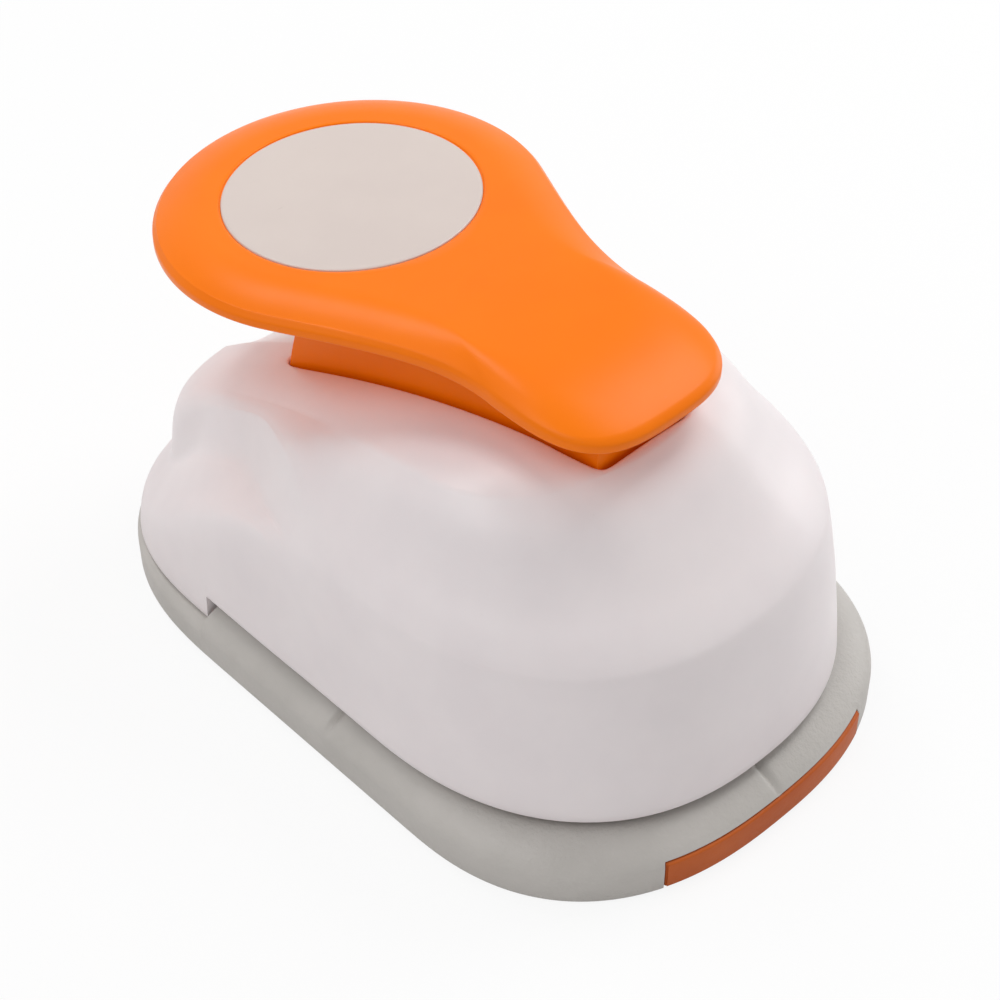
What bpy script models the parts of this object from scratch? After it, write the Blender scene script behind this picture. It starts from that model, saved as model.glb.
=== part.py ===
"""A lever circle punch: a hand tool that cuts discs out of paper.

The paper goes in from the front, between the base and the housing. Pressing the
round pad turns the lever about a pin low in the front of the dome. A rib under
the lever pushes the presser and the punch through the paper into the die plate,
and two coil springs lift them again. The cut disc falls through the base. A lock
slides into the lever's heel and holds the lever down when the punch is put away.

Metres, +Z up. The front faces -Y and X = 0 is the plane of symmetry. The origin
is under the middle of the base, on the surface that the punch stands on.
"""

from math import atan2, cos, pi, radians, sin, sqrt, tan, tau

import bmesh
import bpy
from mathutils import Matrix, Vector

# Base: a tray with an upright wall, a rounded ledge and a deck that the paper lies on
BASE_LENGTH = 0.1184
BASE_WIDTH = 0.0796
BASE_FRONT_CENTRE = 0.0240
BASE_REAR_CENTRE = 0.0194
BASE_WALL = 0.0024
BASE_WALL_HEIGHT = 0.0046
BASE_FOOT_CHAMFER = 0.0008
DECK_TOP = 0.0090
DECK_THICKNESS = 0.0032
LEDGE_WIDTH = 0.0062
SHOULDER_HEIGHT = 0.0058
BASE_FRONT_POWER = 2.45
BASE_REAR_POWER = 2.7
MARK_WIDTH = 0.0026
MARK_LENGTH = 0.0032
MARK_DEPTH = 0.0007

# Cutting circle and paper slot
CIRCLE_DIAMETER = 0.0380
DIE_CENTRE_Y = -0.0060
THROAT_HEIGHT = 0.0018
THROAT_SETBACK = 0.0068
HOUSING_EDGE_HEIGHT = 0.0105

# Upper housing
HOUSING_SIDE_INSET = 0.0021
HOUSING_FRONT_INSET = 0.0036
HOUSING_REAR_INSET = 0.0003
HOUSING_WALL = 0.0022
HOUSING_FRONT_CENTRE = 0.0140
HOUSING_REAR_CENTRE = 0.0240
HOUSING_FRONT_POWER = 2.33
HOUSING_REAR_POWER = 2.75
CREST_SIDE_INSET = 0.0139
CREST_FRONT_INSET = 0.0240
CREST_REAR_INSET = 0.0069
CREST_TAPER = 0.0013
CREST_FRONT_POWER = 2.0
CREST_REAR_POWER = 3.0
CREST_HEIGHT = 0.0553
CREST_DROP = 0.0301
CREST_DROP_POWER = 1.81
CREST_CROWN = 0.0024
CHANNEL_WIDTH = 0.0200
CHANNEL_DEPTH = 0.0030
CHANNEL_SETBACK = 0.0014
CHANNEL_RUN = 0.0100

# Lever: a paddle over a box-shaped skirt, and the hinge that it turns on
LEVER_TRAVEL = radians(12.0)
HINGE_SETBACK = 0.0192
HINGE_Z = 0.0270
PAD_REACH = 0.0701
PAD_RADIUS = 0.0291
PAD_JOIN_ANGLE = radians(-25.0)
PADDLE_TIP_REACH = 0.0056
PADDLE_TIP_WIDTH = 0.0316
PADDLE_TIP_LENGTH = 0.0179
PADDLE_TIP_POWER = 3.2
PADDLE_WAIST = 0.0033
PADDLE_HEIGHT = 0.0632
PADDLE_RISE_SHARE = 0.065
PADDLE_BEND = 0.0027
PADDLE_BEND_REACH = 0.0400
PADDLE_THICKNESS = 0.0024
PADDLE_RIM = 0.0018
PADDLE_LIP = 0.0016
PADDLE_EDGE_DROP = 0.0023
INLAY_THICKNESS = 0.0010
SKIRT_REAR_RADIUS = 0.0704
SKIRT_REAR_WIDTH = 0.0300
SKIRT_FRONT_WIDTH = 0.0170
SKIRT_FRONT_REACH = 0.0110
SKIRT_WALL = 0.0022
SKIRT_REAR_LOW = 0.0310
SKIRT_FRONT_LOW = 0.0440
SKIRT_BITE_SHARE = 0.8
SLOT_GAP = 0.0007
HEEL_WIDTH = 0.0130
HEEL_LOW = 0.0167
BARREL_RADIUS = 0.0048
RIB_LENGTH = 0.0150
RIB_THICKNESS = 0.0030

# Punch and what moves it
PUNCH_REST = 0.0120
PUNCH_HEIGHT = 0.0160
PUNCH_WALL = 0.0025
PUNCH_CROWN = 0.0030
PRESSER_THICKNESS = 0.0030
PRESSER_RADIUS = 0.0170
PRESSER_RIB_RADIUS = 0.0040
PRESSER_RIB_WIDTH = 0.0150
PRESSER_RIB_CENTRE_Z = 0.0370
WING_LENGTH = 0.0110

# Guide frame, posts and springs
GUIDE_THICKNESS = 0.0030
GUIDE_MARGIN = 0.0050
GUIDE_REAR_SETBACK = 0.0016
GUIDE_TONGUE_WIDTH = 0.0300
GUIDE_TONGUE_MARGIN = 0.0005
GUIDE_FOOT_WIDTH = 0.0480
GUIDE_FOOT_MARGIN = 0.0023
CHEEK_GAP = 0.0007
CHEEK_THICKNESS = 0.0030
CHEEK_RADIUS = 0.0050
POST_MARGIN = 0.0047
POST_EDGE = 0.0073
POST_RADIUS = 0.0015
POST_TOP = 0.0345
POST_SEAT = 0.0020
SPRING_MEAN_RADIUS = 0.0030
SPRING_WIRE_RADIUS = 0.00045
SPRING_TURNS = 6.0
HINGE_PIN_RADIUS = 0.0020
CLIP_THICKNESS = 0.0006
CLIP_WIDTH = 0.0014

# Die plate
DIE_WIDTH = 0.0560
DIE_LENGTH = 0.0520
DIE_PLATE_THICKNESS = 0.0019
DIE_CORNER = 0.0040
COLLAR_RADIUS = 0.0210
COLLAR_LOW = 0.0032

# Storage lock
LOCK_THICKNESS = 0.0014
LOCK_GRIP_WIDTH = 0.0406
LOCK_GRIP_THICKNESS = 0.0030
LOCK_GRIP_LOW = 0.0006
LOCK_RAIL_WIDTH = 0.0040
LOCK_RAIL_MARGIN = 0.0033
LOCK_BAR_SETBACK = 0.0122
LOCK_BAR_LENGTH = 0.0050
LOCK_REAR_BAR_LENGTH = 0.0033
LOCK_TONGUE_WIDTH = 0.0066
LOCK_TONGUE_REACH = 0.0002

# Bottom cover, screws and their bosses
COVER_THICKNESS = 0.0020
COVER_HOLE_RADIUS = 0.0225
BOSS_RADIUS = 0.0030
BOSS_RIB_THICKNESS = 0.0016
BOSS_TOP = 0.0180
BOSS_RIB_TOP = 0.0140
REAR_RIB_TOP = 0.0112
REAR_RIB_INSET = 0.0018
SCREW_RADIUS = 0.0012
SCREW_HEAD_RADIUS = 0.0022
SCREW_HEAD_HEIGHT = 0.0012
HOUSING_SCREW_INSET = 0.0098
HOUSING_SCREW_SETBACK = 0.0064
REAR_SCREW_X = 0.0160
REAR_SCREW_INSET = 0.0127
COVER_SCREW_INSET = 0.0068
COVER_SCREW_Y = -0.0180
FRAME_SCREW_X = 0.0165
FRAME_SCREW_SETBACK = 0.0054
DIE_SCREW_INSET = 0.0034
DIE_SCREW_RADIUS = 0.0009
DIE_SCREW_HEAD_RADIUS = 0.0016
DIE_SCREW_HEAD_HEIGHT = 0.0008
PUNCH_SCREW_X = 0.0115

# Clearance between touching pieces, and how far a cutter runs past what it cuts
GAP = 0.0003
OVERRUN = 0.0020

# Counts of points
FRONT_STEPS = 26
REAR_STEPS = 24
SIDE_STEPS = 8
ROUND_STEPS = 48
SMALL_STEPS = 16
SPRING_STEPS = 12
WIRE_STEPS = 6
BEND_STEPS = 4

# How far the points of a plan's round ends are drawn towards its sides
GATHER_SHARE = 0.6

# Faces that meet at more than this angle are shaded with an edge between them
SHARP_ANGLE = radians(30.0)

# Profile of the dome at six places: share of its length, shares of the way in, shares of the way up
DOME_PROFILE_SHARES = (
    (0.318,
     (0.0, 0.03, 0.06, 0.09, 0.12, 0.145, 0.165, 0.185, 0.22, 0.27, 0.35, 0.48, 0.64, 0.81, 1.0),
     (0.0, 0.16, 0.28, 0.39, 0.475, 0.54, 0.585, 0.62, 0.645, 0.672, 0.71, 0.765, 0.845, 0.935, 1.0)),
    (0.483,
     (0.0, 0.02, 0.04, 0.065, 0.09, 0.12, 0.15, 0.185, 0.24, 0.31, 0.4, 0.52, 0.66, 0.82, 1.0),
     (0.0, 0.14, 0.27, 0.39, 0.48, 0.55, 0.6, 0.645, 0.68, 0.72, 0.765, 0.815, 0.88, 0.95, 1.0)),
    (0.597,
     (0.0, 0.01, 0.03, 0.06, 0.13, 0.22, 0.3, 0.38, 0.48, 0.59, 0.65, 0.73, 0.82, 0.91, 1.0),
     (0.0, 0.17, 0.34, 0.5, 0.645, 0.68, 0.695, 0.71, 0.784, 0.909, 0.952, 0.979, 0.991, 0.997, 1.0)),
    (0.71,
     (0.0, 0.01, 0.03, 0.07, 0.16, 0.34, 0.52, 0.68, 0.77, 0.85, 0.88, 0.91, 0.94, 0.97, 1.0),
     (0.0, 0.15, 0.3, 0.45, 0.57, 0.64, 0.7, 0.75, 0.85, 0.955, 0.975, 0.988, 0.995, 0.999, 1.0)),
    (0.823,
     (0.0, 0.01, 0.03, 0.08, 0.18, 0.35, 0.52, 0.67, 0.75, 0.81, 0.84, 0.88, 0.92, 0.96, 1.0),
     (0.0, 0.11, 0.21, 0.31, 0.39, 0.48, 0.57, 0.65, 0.76, 0.87, 0.92, 0.955, 0.98, 0.995, 1.0)),
    (0.927,
     (0.0, 0.02, 0.05, 0.1, 0.17, 0.27, 0.37, 0.46, 0.5, 0.54, 0.6, 0.68, 0.78, 0.89, 1.0),
     (0.0, 0.08, 0.15, 0.21, 0.26, 0.32, 0.37, 0.42, 0.57, 0.72, 0.83, 0.91, 0.96, 0.99, 1.0)),
)
PLATEAU_SHARES = (0.8, 0.6, 0.4, 0.2)
LEDGE_SHARES = ((0.0, 0.0), (0.06, 0.25), (0.2, 0.5), (0.45, 0.75), (0.75, 0.93), (1.0, 1.0))
PADDLE_SHARES = (1.0, 0.965, 0.925, 0.88, 0.83, 0.78, 0.74, 0.45)
PADDLE_FLAT_SHARE = 0.74
PADDLE_UNDER_SHARES = (0.45, 0.78, 0.88)

# Sizes that follow from the ones above
PUNCH_RADIUS = CIRCLE_DIAMETER / 2
GUIDE_LOW = DECK_TOP + THROAT_HEIGHT
GUIDE_TOP = GUIDE_LOW + GUIDE_THICKNESS
DECK_LOW = DECK_TOP - DECK_THICKNESS
PRESSER_LOW = PUNCH_REST + PUNCH_HEIGHT + GAP
PRESSER_TOP = PRESSER_LOW + PRESSER_THICKNESS
RIB_LOW = PRESSER_RIB_CENTRE_Z + PRESSER_RIB_RADIUS + GAP
LOCK_TOP = DECK_LOW - GAP
LOCK_LOW = LOCK_TOP - LOCK_THICKNESS
HOUSING_WIDTH = BASE_WIDTH - 2 * HOUSING_SIDE_INSET
HOUSING_FRONT_Y = -BASE_LENGTH / 2 + HOUSING_FRONT_INSET
HOUSING_REAR_Y = BASE_LENGTH / 2 - HOUSING_REAR_INSET
CREST_WIDTH = HOUSING_WIDTH - 2 * CREST_SIDE_INSET
CREST_FRONT_Y = HOUSING_FRONT_Y + CREST_FRONT_INSET
CREST_REAR_Y = HOUSING_REAR_Y - CREST_REAR_INSET
HINGE_Y = -BASE_LENGTH / 2 + HINGE_SETBACK
SKIRT_REAR_Y = HINGE_Y + SKIRT_REAR_RADIUS
SKIRT_FRONT_Y = HINGE_Y + SKIRT_FRONT_REACH
PAD_CENTRE_Y = HINGE_Y + PAD_REACH
PADDLE_FRONT_Y = HINGE_Y + PADDLE_TIP_REACH
PADDLE_BEND_Y = HINGE_Y + PADDLE_BEND_REACH
THROAT_END_Y = SKIRT_REAR_Y - THROAT_SETBACK
CHANNEL_START_Y = SKIRT_REAR_Y - CHANNEL_SETBACK
POST_X = PUNCH_RADIUS + POST_MARGIN
GUIDE_WIDTH = 2 * (POST_X + POST_EDGE)
GUIDE_FRONT_Y = DIE_CENTRE_Y - PUNCH_RADIUS - GUIDE_MARGIN
GUIDE_REAR_Y = THROAT_END_Y - GUIDE_REAR_SETBACK
GUIDE_TONGUE_Y = HINGE_Y - CHEEK_RADIUS - GUIDE_TONGUE_MARGIN
GUIDE_FOOT_Y = SKIRT_REAR_Y + GUIDE_FOOT_MARGIN
LOCK_RAIL_OUTER = COLLAR_RADIUS + LOCK_RAIL_MARGIN + LOCK_RAIL_WIDTH
LOCK_BAR_FRONT_Y = -BASE_LENGTH / 2 + LOCK_BAR_SETBACK
LOCK_REAR_BAR_Y = DIE_CENTRE_Y + COLLAR_RADIUS + GAP
LOCK_TONGUE_END_Y = THROAT_END_Y + LOCK_TONGUE_REACH
HOUSING_SCREW_X = BASE_WIDTH / 2 - HOUSING_SCREW_INSET
HOUSING_SCREW_Y = THROAT_END_Y + HOUSING_SCREW_SETBACK
REAR_SCREW_Y = BASE_LENGTH / 2 - REAR_SCREW_INSET
COVER_SCREW_X = BASE_WIDTH / 2 - COVER_SCREW_INSET
FRAME_SCREW_Y = THROAT_END_Y + FRAME_SCREW_SETBACK


def material(name, colour, roughness, metallic=0.0):
    """A plain Principled material."""
    made = bpy.data.materials.new(name)
    made.use_nodes = True
    shader = made.node_tree.nodes["Principled BSDF"]
    shader.inputs["Base Color"].default_value = (*colour, 1.0)
    shader.inputs["Roughness"].default_value = roughness
    shader.inputs["Metallic"].default_value = metallic
    made.diffuse_color = (*colour, 1.0)
    return made


def mesh_object(name, points, faces):
    """An object with its origin at the world's, from points and faces, its faces turned outwards."""
    mesh = bpy.data.meshes.new(name)
    mesh.from_pydata([tuple(point) for point in points], [], faces)
    shape = bmesh.new()
    shape.from_mesh(mesh)
    bmesh.ops.recalc_face_normals(shape, faces=shape.faces)
    shape.to_mesh(mesh)
    shape.free()
    made = bpy.data.objects.new(name, mesh)
    bpy.context.collection.objects.link(made)
    return made


def loft(name, rings, closed=False):
    """Skin rings of equally many points. The rings' ends are capped, or joined where closed."""
    count = len(rings[0])
    points = [point for ring in rings for point in ring]
    faces = []
    pairs = len(rings) if closed else len(rings) - 1
    for lower in range(pairs):
        upper = (lower + 1) % len(rings)
        for place in range(count):
            after = (place + 1) % count
            faces.append((lower * count + place, lower * count + after,
                          upper * count + after, upper * count + place))
    if not closed:
        faces.append(tuple(reversed(range(count))))
        faces.append(tuple(range(len(points) - count, len(points))))
    return mesh_object(name, points, faces)


def circle(radius, centre, height, steps=ROUND_STEPS):
    """A level ring of points."""
    return [Vector((centre[0] + radius * cos(tau * step / steps),
                    centre[1] + radius * sin(tau * step / steps), height)) for step in range(steps)]


def cylinder(name, radius, centre, low, high, steps=ROUND_STEPS):
    """An upright cylinder."""
    return loft(name, [circle(radius, centre, low, steps), circle(radius, centre, high, steps)])


def cross_cylinder(name, radius, y, z, half_length, steps=SMALL_STEPS):
    """A cylinder along X, centred on X = 0."""
    rings = []
    for x in (-half_length, half_length):
        rings.append([Vector((x, y + radius * cos(tau * step / steps), z + radius * sin(tau * step / steps)))
                      for step in range(steps)])
    return loft(name, rings)


def prism(name, corners, low, high):
    """An upright prism over a plan outline that runs anticlockwise."""
    return loft(name, [[Vector((x, y, low)) for x, y in corners], [Vector((x, y, high)) for x, y in corners]])


def block(name, x_from, x_to, y_from, y_to, z_from, z_to):
    """A box between six planes."""
    corners = [(x_from, y_from), (x_to, y_from), (x_to, y_to), (x_from, y_to)]
    return prism(name, corners, z_from, z_to)


def side_plate(name, corners, x_from, x_to):
    """A plate that stands across X, over an outline of (y, z) corners that runs anticlockwise."""
    return loft(name, [[Vector((x, y, z)) for y, z in corners] for x in (x_from, x_to)])


def combine(target, tool, operation):
    """Join the tool to the target, or cut the target with it, and remove the tool."""
    step = target.modifiers.new(operation.lower(), "BOOLEAN")
    step.operation = operation
    step.solver = "EXACT"
    step.object = tool
    bpy.context.view_layer.update()
    evaluated = target.evaluated_get(bpy.context.evaluated_depsgraph_get())
    result = bpy.data.meshes.new_from_object(evaluated)
    target.modifiers.clear()
    target.data = result
    bpy.data.objects.remove(tool)
    return target


def add(target, *tools):
    """Join tools to the target."""
    for tool in tools:
        combine(target, tool, "UNION")
    return target


def cut(target, *tools):
    """Cut tools out of the target."""
    for tool in tools:
        combine(target, tool, "DIFFERENCE")
    return target


def mirrored(x):
    """A place and its mirror image across X = 0."""
    return (-x, x)


def finish(made, name, look, pivot=None):
    """Name and shade a piece, give it its material, and put its origin on the pivot."""
    made.name = name
    made.data.name = name
    made.data.materials.clear()
    made.data.materials.append(look)
    made.data.shade_smooth()
    made.data.set_sharp_from_angle(angle=SHARP_ANGLE)
    if pivot is not None:
        made.data.transform(Matrix.Translation(-Vector(pivot)))
        made.location = pivot
    return made


def smooth_share(value, low, high):
    """0 below low, 1 above high, and an eased step between."""
    share = min(max((value - low) / (high - low), 0.0), 1.0)
    return share * share * (3.0 - 2.0 * share)


def power_arc(half_width, length, power, angle):
    """A point on a superellipse: (across, along) at an angle from 0 to pi."""
    exponent = 2.0 / power
    across = abs(cos(angle)) ** exponent
    if cos(angle) < 0:
        across = -across
    return half_width * across, length * abs(sin(angle)) ** exponent


def gathered(share):
    """An angle from 0 to pi at a share of the way round an end, its points gathered towards the sides."""
    return pi * share - GATHER_SHARE * sin(tau * share) / 2


def plan_outline(half_width, front_y, rear_y, front_centre_y, rear_centre_y, front_power, rear_power):
    """A rounded plan outline, anticlockwise: straight sides, and a superellipse at each end."""
    points = []
    for step in range(SIDE_STEPS):
        y = front_centre_y + (rear_centre_y - front_centre_y) * step / SIDE_STEPS
        points.append((half_width, y))
    for step in range(REAR_STEPS):
        angle = gathered(step / REAR_STEPS)
        across, along = power_arc(half_width, rear_y - rear_centre_y, rear_power, angle)
        points.append((across, rear_centre_y + along))
    for step in range(SIDE_STEPS):
        y = rear_centre_y + (front_centre_y - rear_centre_y) * step / SIDE_STEPS
        points.append((-half_width, y))
    for step in range(FRONT_STEPS):
        angle = gathered(step / FRONT_STEPS)
        across, along = power_arc(half_width, front_centre_y - front_y, front_power, angle)
        points.append((-across, front_centre_y - along))
    return points


def base_outline(inset):
    """The base's plan, drawn in by an inset."""
    end = BASE_LENGTH / 2 - inset
    return plan_outline(BASE_WIDTH / 2 - inset, -end, end, -BASE_FRONT_CENTRE, BASE_REAR_CENTRE,
                        BASE_FRONT_POWER, BASE_REAR_POWER)


def housing_outline(inset):
    """The plan of the housing's lower edge, drawn in by an inset."""
    return plan_outline(HOUSING_WIDTH / 2 - inset, HOUSING_FRONT_Y + inset, HOUSING_REAR_Y - inset,
                        -HOUSING_FRONT_CENTRE, HOUSING_REAR_CENTRE, HOUSING_FRONT_POWER, HOUSING_REAR_POWER)


def crest_outline(inset):
    """The plan of the crest, where the dome's side turns into its top."""
    half = CREST_WIDTH / 2 - inset
    outline = plan_outline(half, CREST_FRONT_Y + inset, CREST_REAR_Y - inset,
                           -HOUSING_FRONT_CENTRE, HOUSING_REAR_CENTRE, CREST_FRONT_POWER, CREST_REAR_POWER)
    tapered = []
    for x, y in outline:
        narrower = CREST_TAPER * smooth_share(y, -HOUSING_FRONT_CENTRE, HOUSING_REAR_CENTRE)
        tapered.append((x * (half - narrower) / half, y))
    return tapered


def crest_line(y):
    """Height of the housing's top on its length: level in front, then falling to the rear."""
    share = max(y - CREST_FRONT_Y, 0.0) / (HOUSING_REAR_Y - CREST_FRONT_Y)
    return CREST_HEIGHT - CREST_DROP * share ** CREST_DROP_POWER


def channel_depth(x, y):
    """How far the channel between the two rear humps lies below them."""
    across = max(1.0 - (2.0 * x / CHANNEL_WIDTH) ** 2, 0.0)
    return CHANNEL_DEPTH * across * smooth_share(y, CHANNEL_START_Y, CHANNEL_START_Y + CHANNEL_RUN)


def smooth_curve(places, values, at):
    """A value on a smooth cubic curve through values at places, without overshoot and flat past its ends."""
    at = min(max(at, places[0]), places[-1])
    rises = []
    for place, after, value, value_after in zip(places, places[1:], values, values[1:]):
        rises.append((value_after - value) / (after - place))
    slopes = [0.0]
    for before, after in zip(rises, rises[1:]):
        limit = 3.0 * min(abs(before), abs(after))
        slope = max(-limit, min((before + after) / 2.0, limit))
        slopes.append(slope if before * after > 0.0 else 0.0)
    slopes.append(0.0)
    cell = 0
    while cell < len(places) - 2 and at > places[cell + 1]:
        cell += 1
    width = places[cell + 1] - places[cell]
    share = (at - places[cell]) / width
    rise = values[cell + 1] - values[cell]
    start = slopes[cell] * width
    end = slopes[cell + 1] * width
    return values[cell] + share * (start + share * (3.0 * rise - 2.0 * start - end
                                                    + share * (start + end - 2.0 * rise)))


def dome_profile(y):
    """The dome's profile at a place along its length: share in and share up, from its edge to its crest."""
    at = (y - HOUSING_FRONT_Y) / (HOUSING_REAR_Y - HOUSING_FRONT_Y)
    places = [place for place, _, _ in DOME_PROFILE_SHARES]
    count = len(DOME_PROFILE_SHARES[0][1])
    pairs = []
    for level in range(count):
        inward = smooth_curve(places, [shares[level] for _, shares, _ in DOME_PROFILE_SHARES], at)
        upward = smooth_curve(places, [shares[level] for _, _, shares in DOME_PROFILE_SHARES], at)
        pairs.append((inward, upward))
    return pairs


def dome_rings(inset, low):
    """Rings of the dome's surface from its lower edge to its top, drawn in by an inset."""
    crest = crest_outline(inset)
    columns = []
    for (x_out, y_out), (x_in, y_in) in zip(housing_outline(inset), crest):
        column = []
        for inward, upward in dome_profile(y_out):
            x = x_out + (x_in - x_out) * inward
            y = y_out + (y_in - y_out) * inward
            top = crest_line(y) - CREST_CROWN - inset - channel_depth(x, y) * upward
            column.append(Vector((x, y, low + (top - low) * upward)))
        columns.append(column)
    rings = [list(ring) for ring in zip(*columns)]
    middle = (CREST_FRONT_Y + CREST_REAR_Y) / 2
    for share in PLATEAU_SHARES:
        ring = []
        for x_edge, y_edge in crest:
            x = x_edge * share
            y = middle + (y_edge - middle) * share
            height = crest_line(y) - CREST_CROWN * share * share - inset - channel_depth(x, y)
            ring.append(Vector((x, y, height)))
        rings.append(ring)
    return rings


def skirt_half_width(y):
    """The skirt's plan tapers evenly from its rear to its front."""
    share = (y - SKIRT_FRONT_Y) / (SKIRT_REAR_Y - SKIRT_FRONT_Y)
    return (SKIRT_FRONT_WIDTH + (SKIRT_REAR_WIDTH - SKIRT_FRONT_WIDTH) * share) / 2


def paddle_top(y):
    """Height of the paddle's top along its middle: it rises a little to the front, then bends down."""
    bent = min(y - PADDLE_BEND_Y, 0.0) / (PADDLE_FRONT_Y - PADDLE_BEND_Y)
    return PADDLE_HEIGHT + PADDLE_RISE_SHARE * (PAD_CENTRE_Y - y) - PADDLE_BEND * bent * bent


def paddle_outline():
    """The paddle's plan, anticlockwise: a round pad, hollow flanks and a blunt tip."""
    join_x = PAD_RADIUS * cos(PAD_JOIN_ANGLE)
    join_y = PAD_CENTRE_Y + PAD_RADIUS * sin(PAD_JOIN_ANGLE)
    tip_x = PADDLE_TIP_WIDTH / 2
    tip_y = PADDLE_FRONT_Y + PADDLE_TIP_LENGTH
    half = []
    tip_steps = FRONT_STEPS // 2
    for step in range(tip_steps):
        across, along = power_arc(tip_x, PADDLE_TIP_LENGTH, PADDLE_TIP_POWER, pi / 2 * (1 - step / tip_steps))
        half.append((across, tip_y - along))
    flank_steps = REAR_STEPS // 2
    reach = join_y - tip_y
    for step in range(flank_steps):
        share = step / flank_steps
        start = 2 * share ** 3 - 3 * share ** 2 + 1
        turn = share ** 3 - share ** 2
        waist = PADDLE_WAIST * share * (1 - share) ** 2
        x = tip_x * start + join_x * (1 - start) - turn * reach * tan(PAD_JOIN_ANGLE) - waist
        half.append((x, tip_y + reach * share))
    pad_steps = REAR_STEPS
    for step in range(pad_steps):
        angle = PAD_JOIN_ANGLE + (pi / 2 - PAD_JOIN_ANGLE) * step / pad_steps
        half.append((PAD_RADIUS * cos(angle), PAD_CENTRE_Y + PAD_RADIUS * sin(angle)))
    crown = (0.0, PAD_CENTRE_Y + PAD_RADIUS)
    other = [(-x, y) for x, y in reversed(half[1:])]
    return half + [crown] + other


def paddle_point(edge, share, below):
    """A point of the paddle, at a share of the way from its middle to its edge."""
    x = edge[0] * share
    y = PAD_CENTRE_Y + (edge[1] - PAD_CENTRE_Y) * share
    rounding = max(share - PADDLE_FLAT_SHARE, 0.0) / (1.0 - PADDLE_FLAT_SHARE)
    return Vector((x, y, paddle_top(y) - PADDLE_EDGE_DROP * rounding * rounding - below))


def make_paddle():
    """The lever's paddle: a crowned shell with an upright rim, open below."""
    outline = paddle_outline()
    lip_share = 1.0 - PADDLE_LIP / PAD_RADIUS
    rings = []
    for share in PADDLE_UNDER_SHARES:
        rings.append([paddle_point(edge, share, PADDLE_THICKNESS) for edge in outline])
    rings.append([paddle_point(edge, lip_share, PADDLE_RIM) for edge in outline])
    rings.append([paddle_point(edge, 1.0, PADDLE_RIM) for edge in outline])
    rings.extend([[paddle_point(edge, share, 0.0) for edge in outline] for share in PADDLE_SHARES])
    return loft("paddle", rings)


def arc_about_hinge(radius, low, high, steps):
    """Points of (y, z) behind the hinge, at one radius, from one height to another."""
    start = (low - HINGE_Z) / radius
    end = (high - HINGE_Z) / radius
    points = []
    for step in range(steps + 1):
        rise = start + (end - start) * step / steps
        points.append((HINGE_Y + radius * sqrt(1.0 - rise * rise), HINGE_Z + radius * rise))
    return points


def skirt_rear_top():
    """How high the skirt's rear wall reaches into the paddle."""
    y = HINGE_Y + sqrt(SKIRT_REAR_RADIUS ** 2 - (PADDLE_HEIGHT - HINGE_Z) ** 2)
    return paddle_top(y) - PADDLE_THICKNESS * SKIRT_BITE_SHARE


def skirt_side_corners():
    """Outline of the skirt's side in (y, z): cheek to the hinge, wall, and arc at the rear."""
    front_top = paddle_top(SKIRT_FRONT_Y) - PADDLE_THICKNESS * SKIRT_BITE_SHARE
    rear = arc_about_hinge(SKIRT_REAR_RADIUS, SKIRT_REAR_LOW, skirt_rear_top(), SMALL_STEPS // 2)
    cheek_rear_y = HINGE_Y + 3 * BARREL_RADIUS
    corners = [(HINGE_Y - BARREL_RADIUS / 2, HINGE_Z - BARREL_RADIUS / 2), (cheek_rear_y, SKIRT_FRONT_LOW)]
    corners.extend(rear)
    for step in range(BEND_STEPS):
        y = PADDLE_BEND_Y + (SKIRT_FRONT_Y - PADDLE_BEND_Y) * step / BEND_STEPS
        corners.append((y, paddle_top(y) - PADDLE_THICKNESS * SKIRT_BITE_SHARE))
    corners.append((SKIRT_FRONT_Y, front_top))
    corners.append((SKIRT_FRONT_Y, SKIRT_FRONT_LOW + BARREL_RADIUS))
    corners.append((HINGE_Y - BARREL_RADIUS / 2, HINGE_Z + BARREL_RADIUS / 2))
    return corners


def skirt_side(name, side):
    """One side wall of the skirt, which follows the taper of its plan."""
    corners = skirt_side_corners()
    rings = []
    for inset in (SKIRT_WALL, 0.0):
        rings.append([Vector((side * (skirt_half_width(y) - inset), y, z)) for y, z in corners])
    if side < 0:
        rings.reverse()
    return loft(name, rings)


def skirt_rear_wall(name, half_width, low, high, thickness):
    """A wall across the skirt whose faces are arcs about the hinge, so that it slides down its slot."""
    outer = arc_about_hinge(SKIRT_REAR_RADIUS, low, high, SMALL_STEPS // 2)
    inner = arc_about_hinge(SKIRT_REAR_RADIUS - thickness, low, high, SMALL_STEPS // 2)
    return side_plate(name, outer + inner[::-1], -half_width, half_width)


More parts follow.
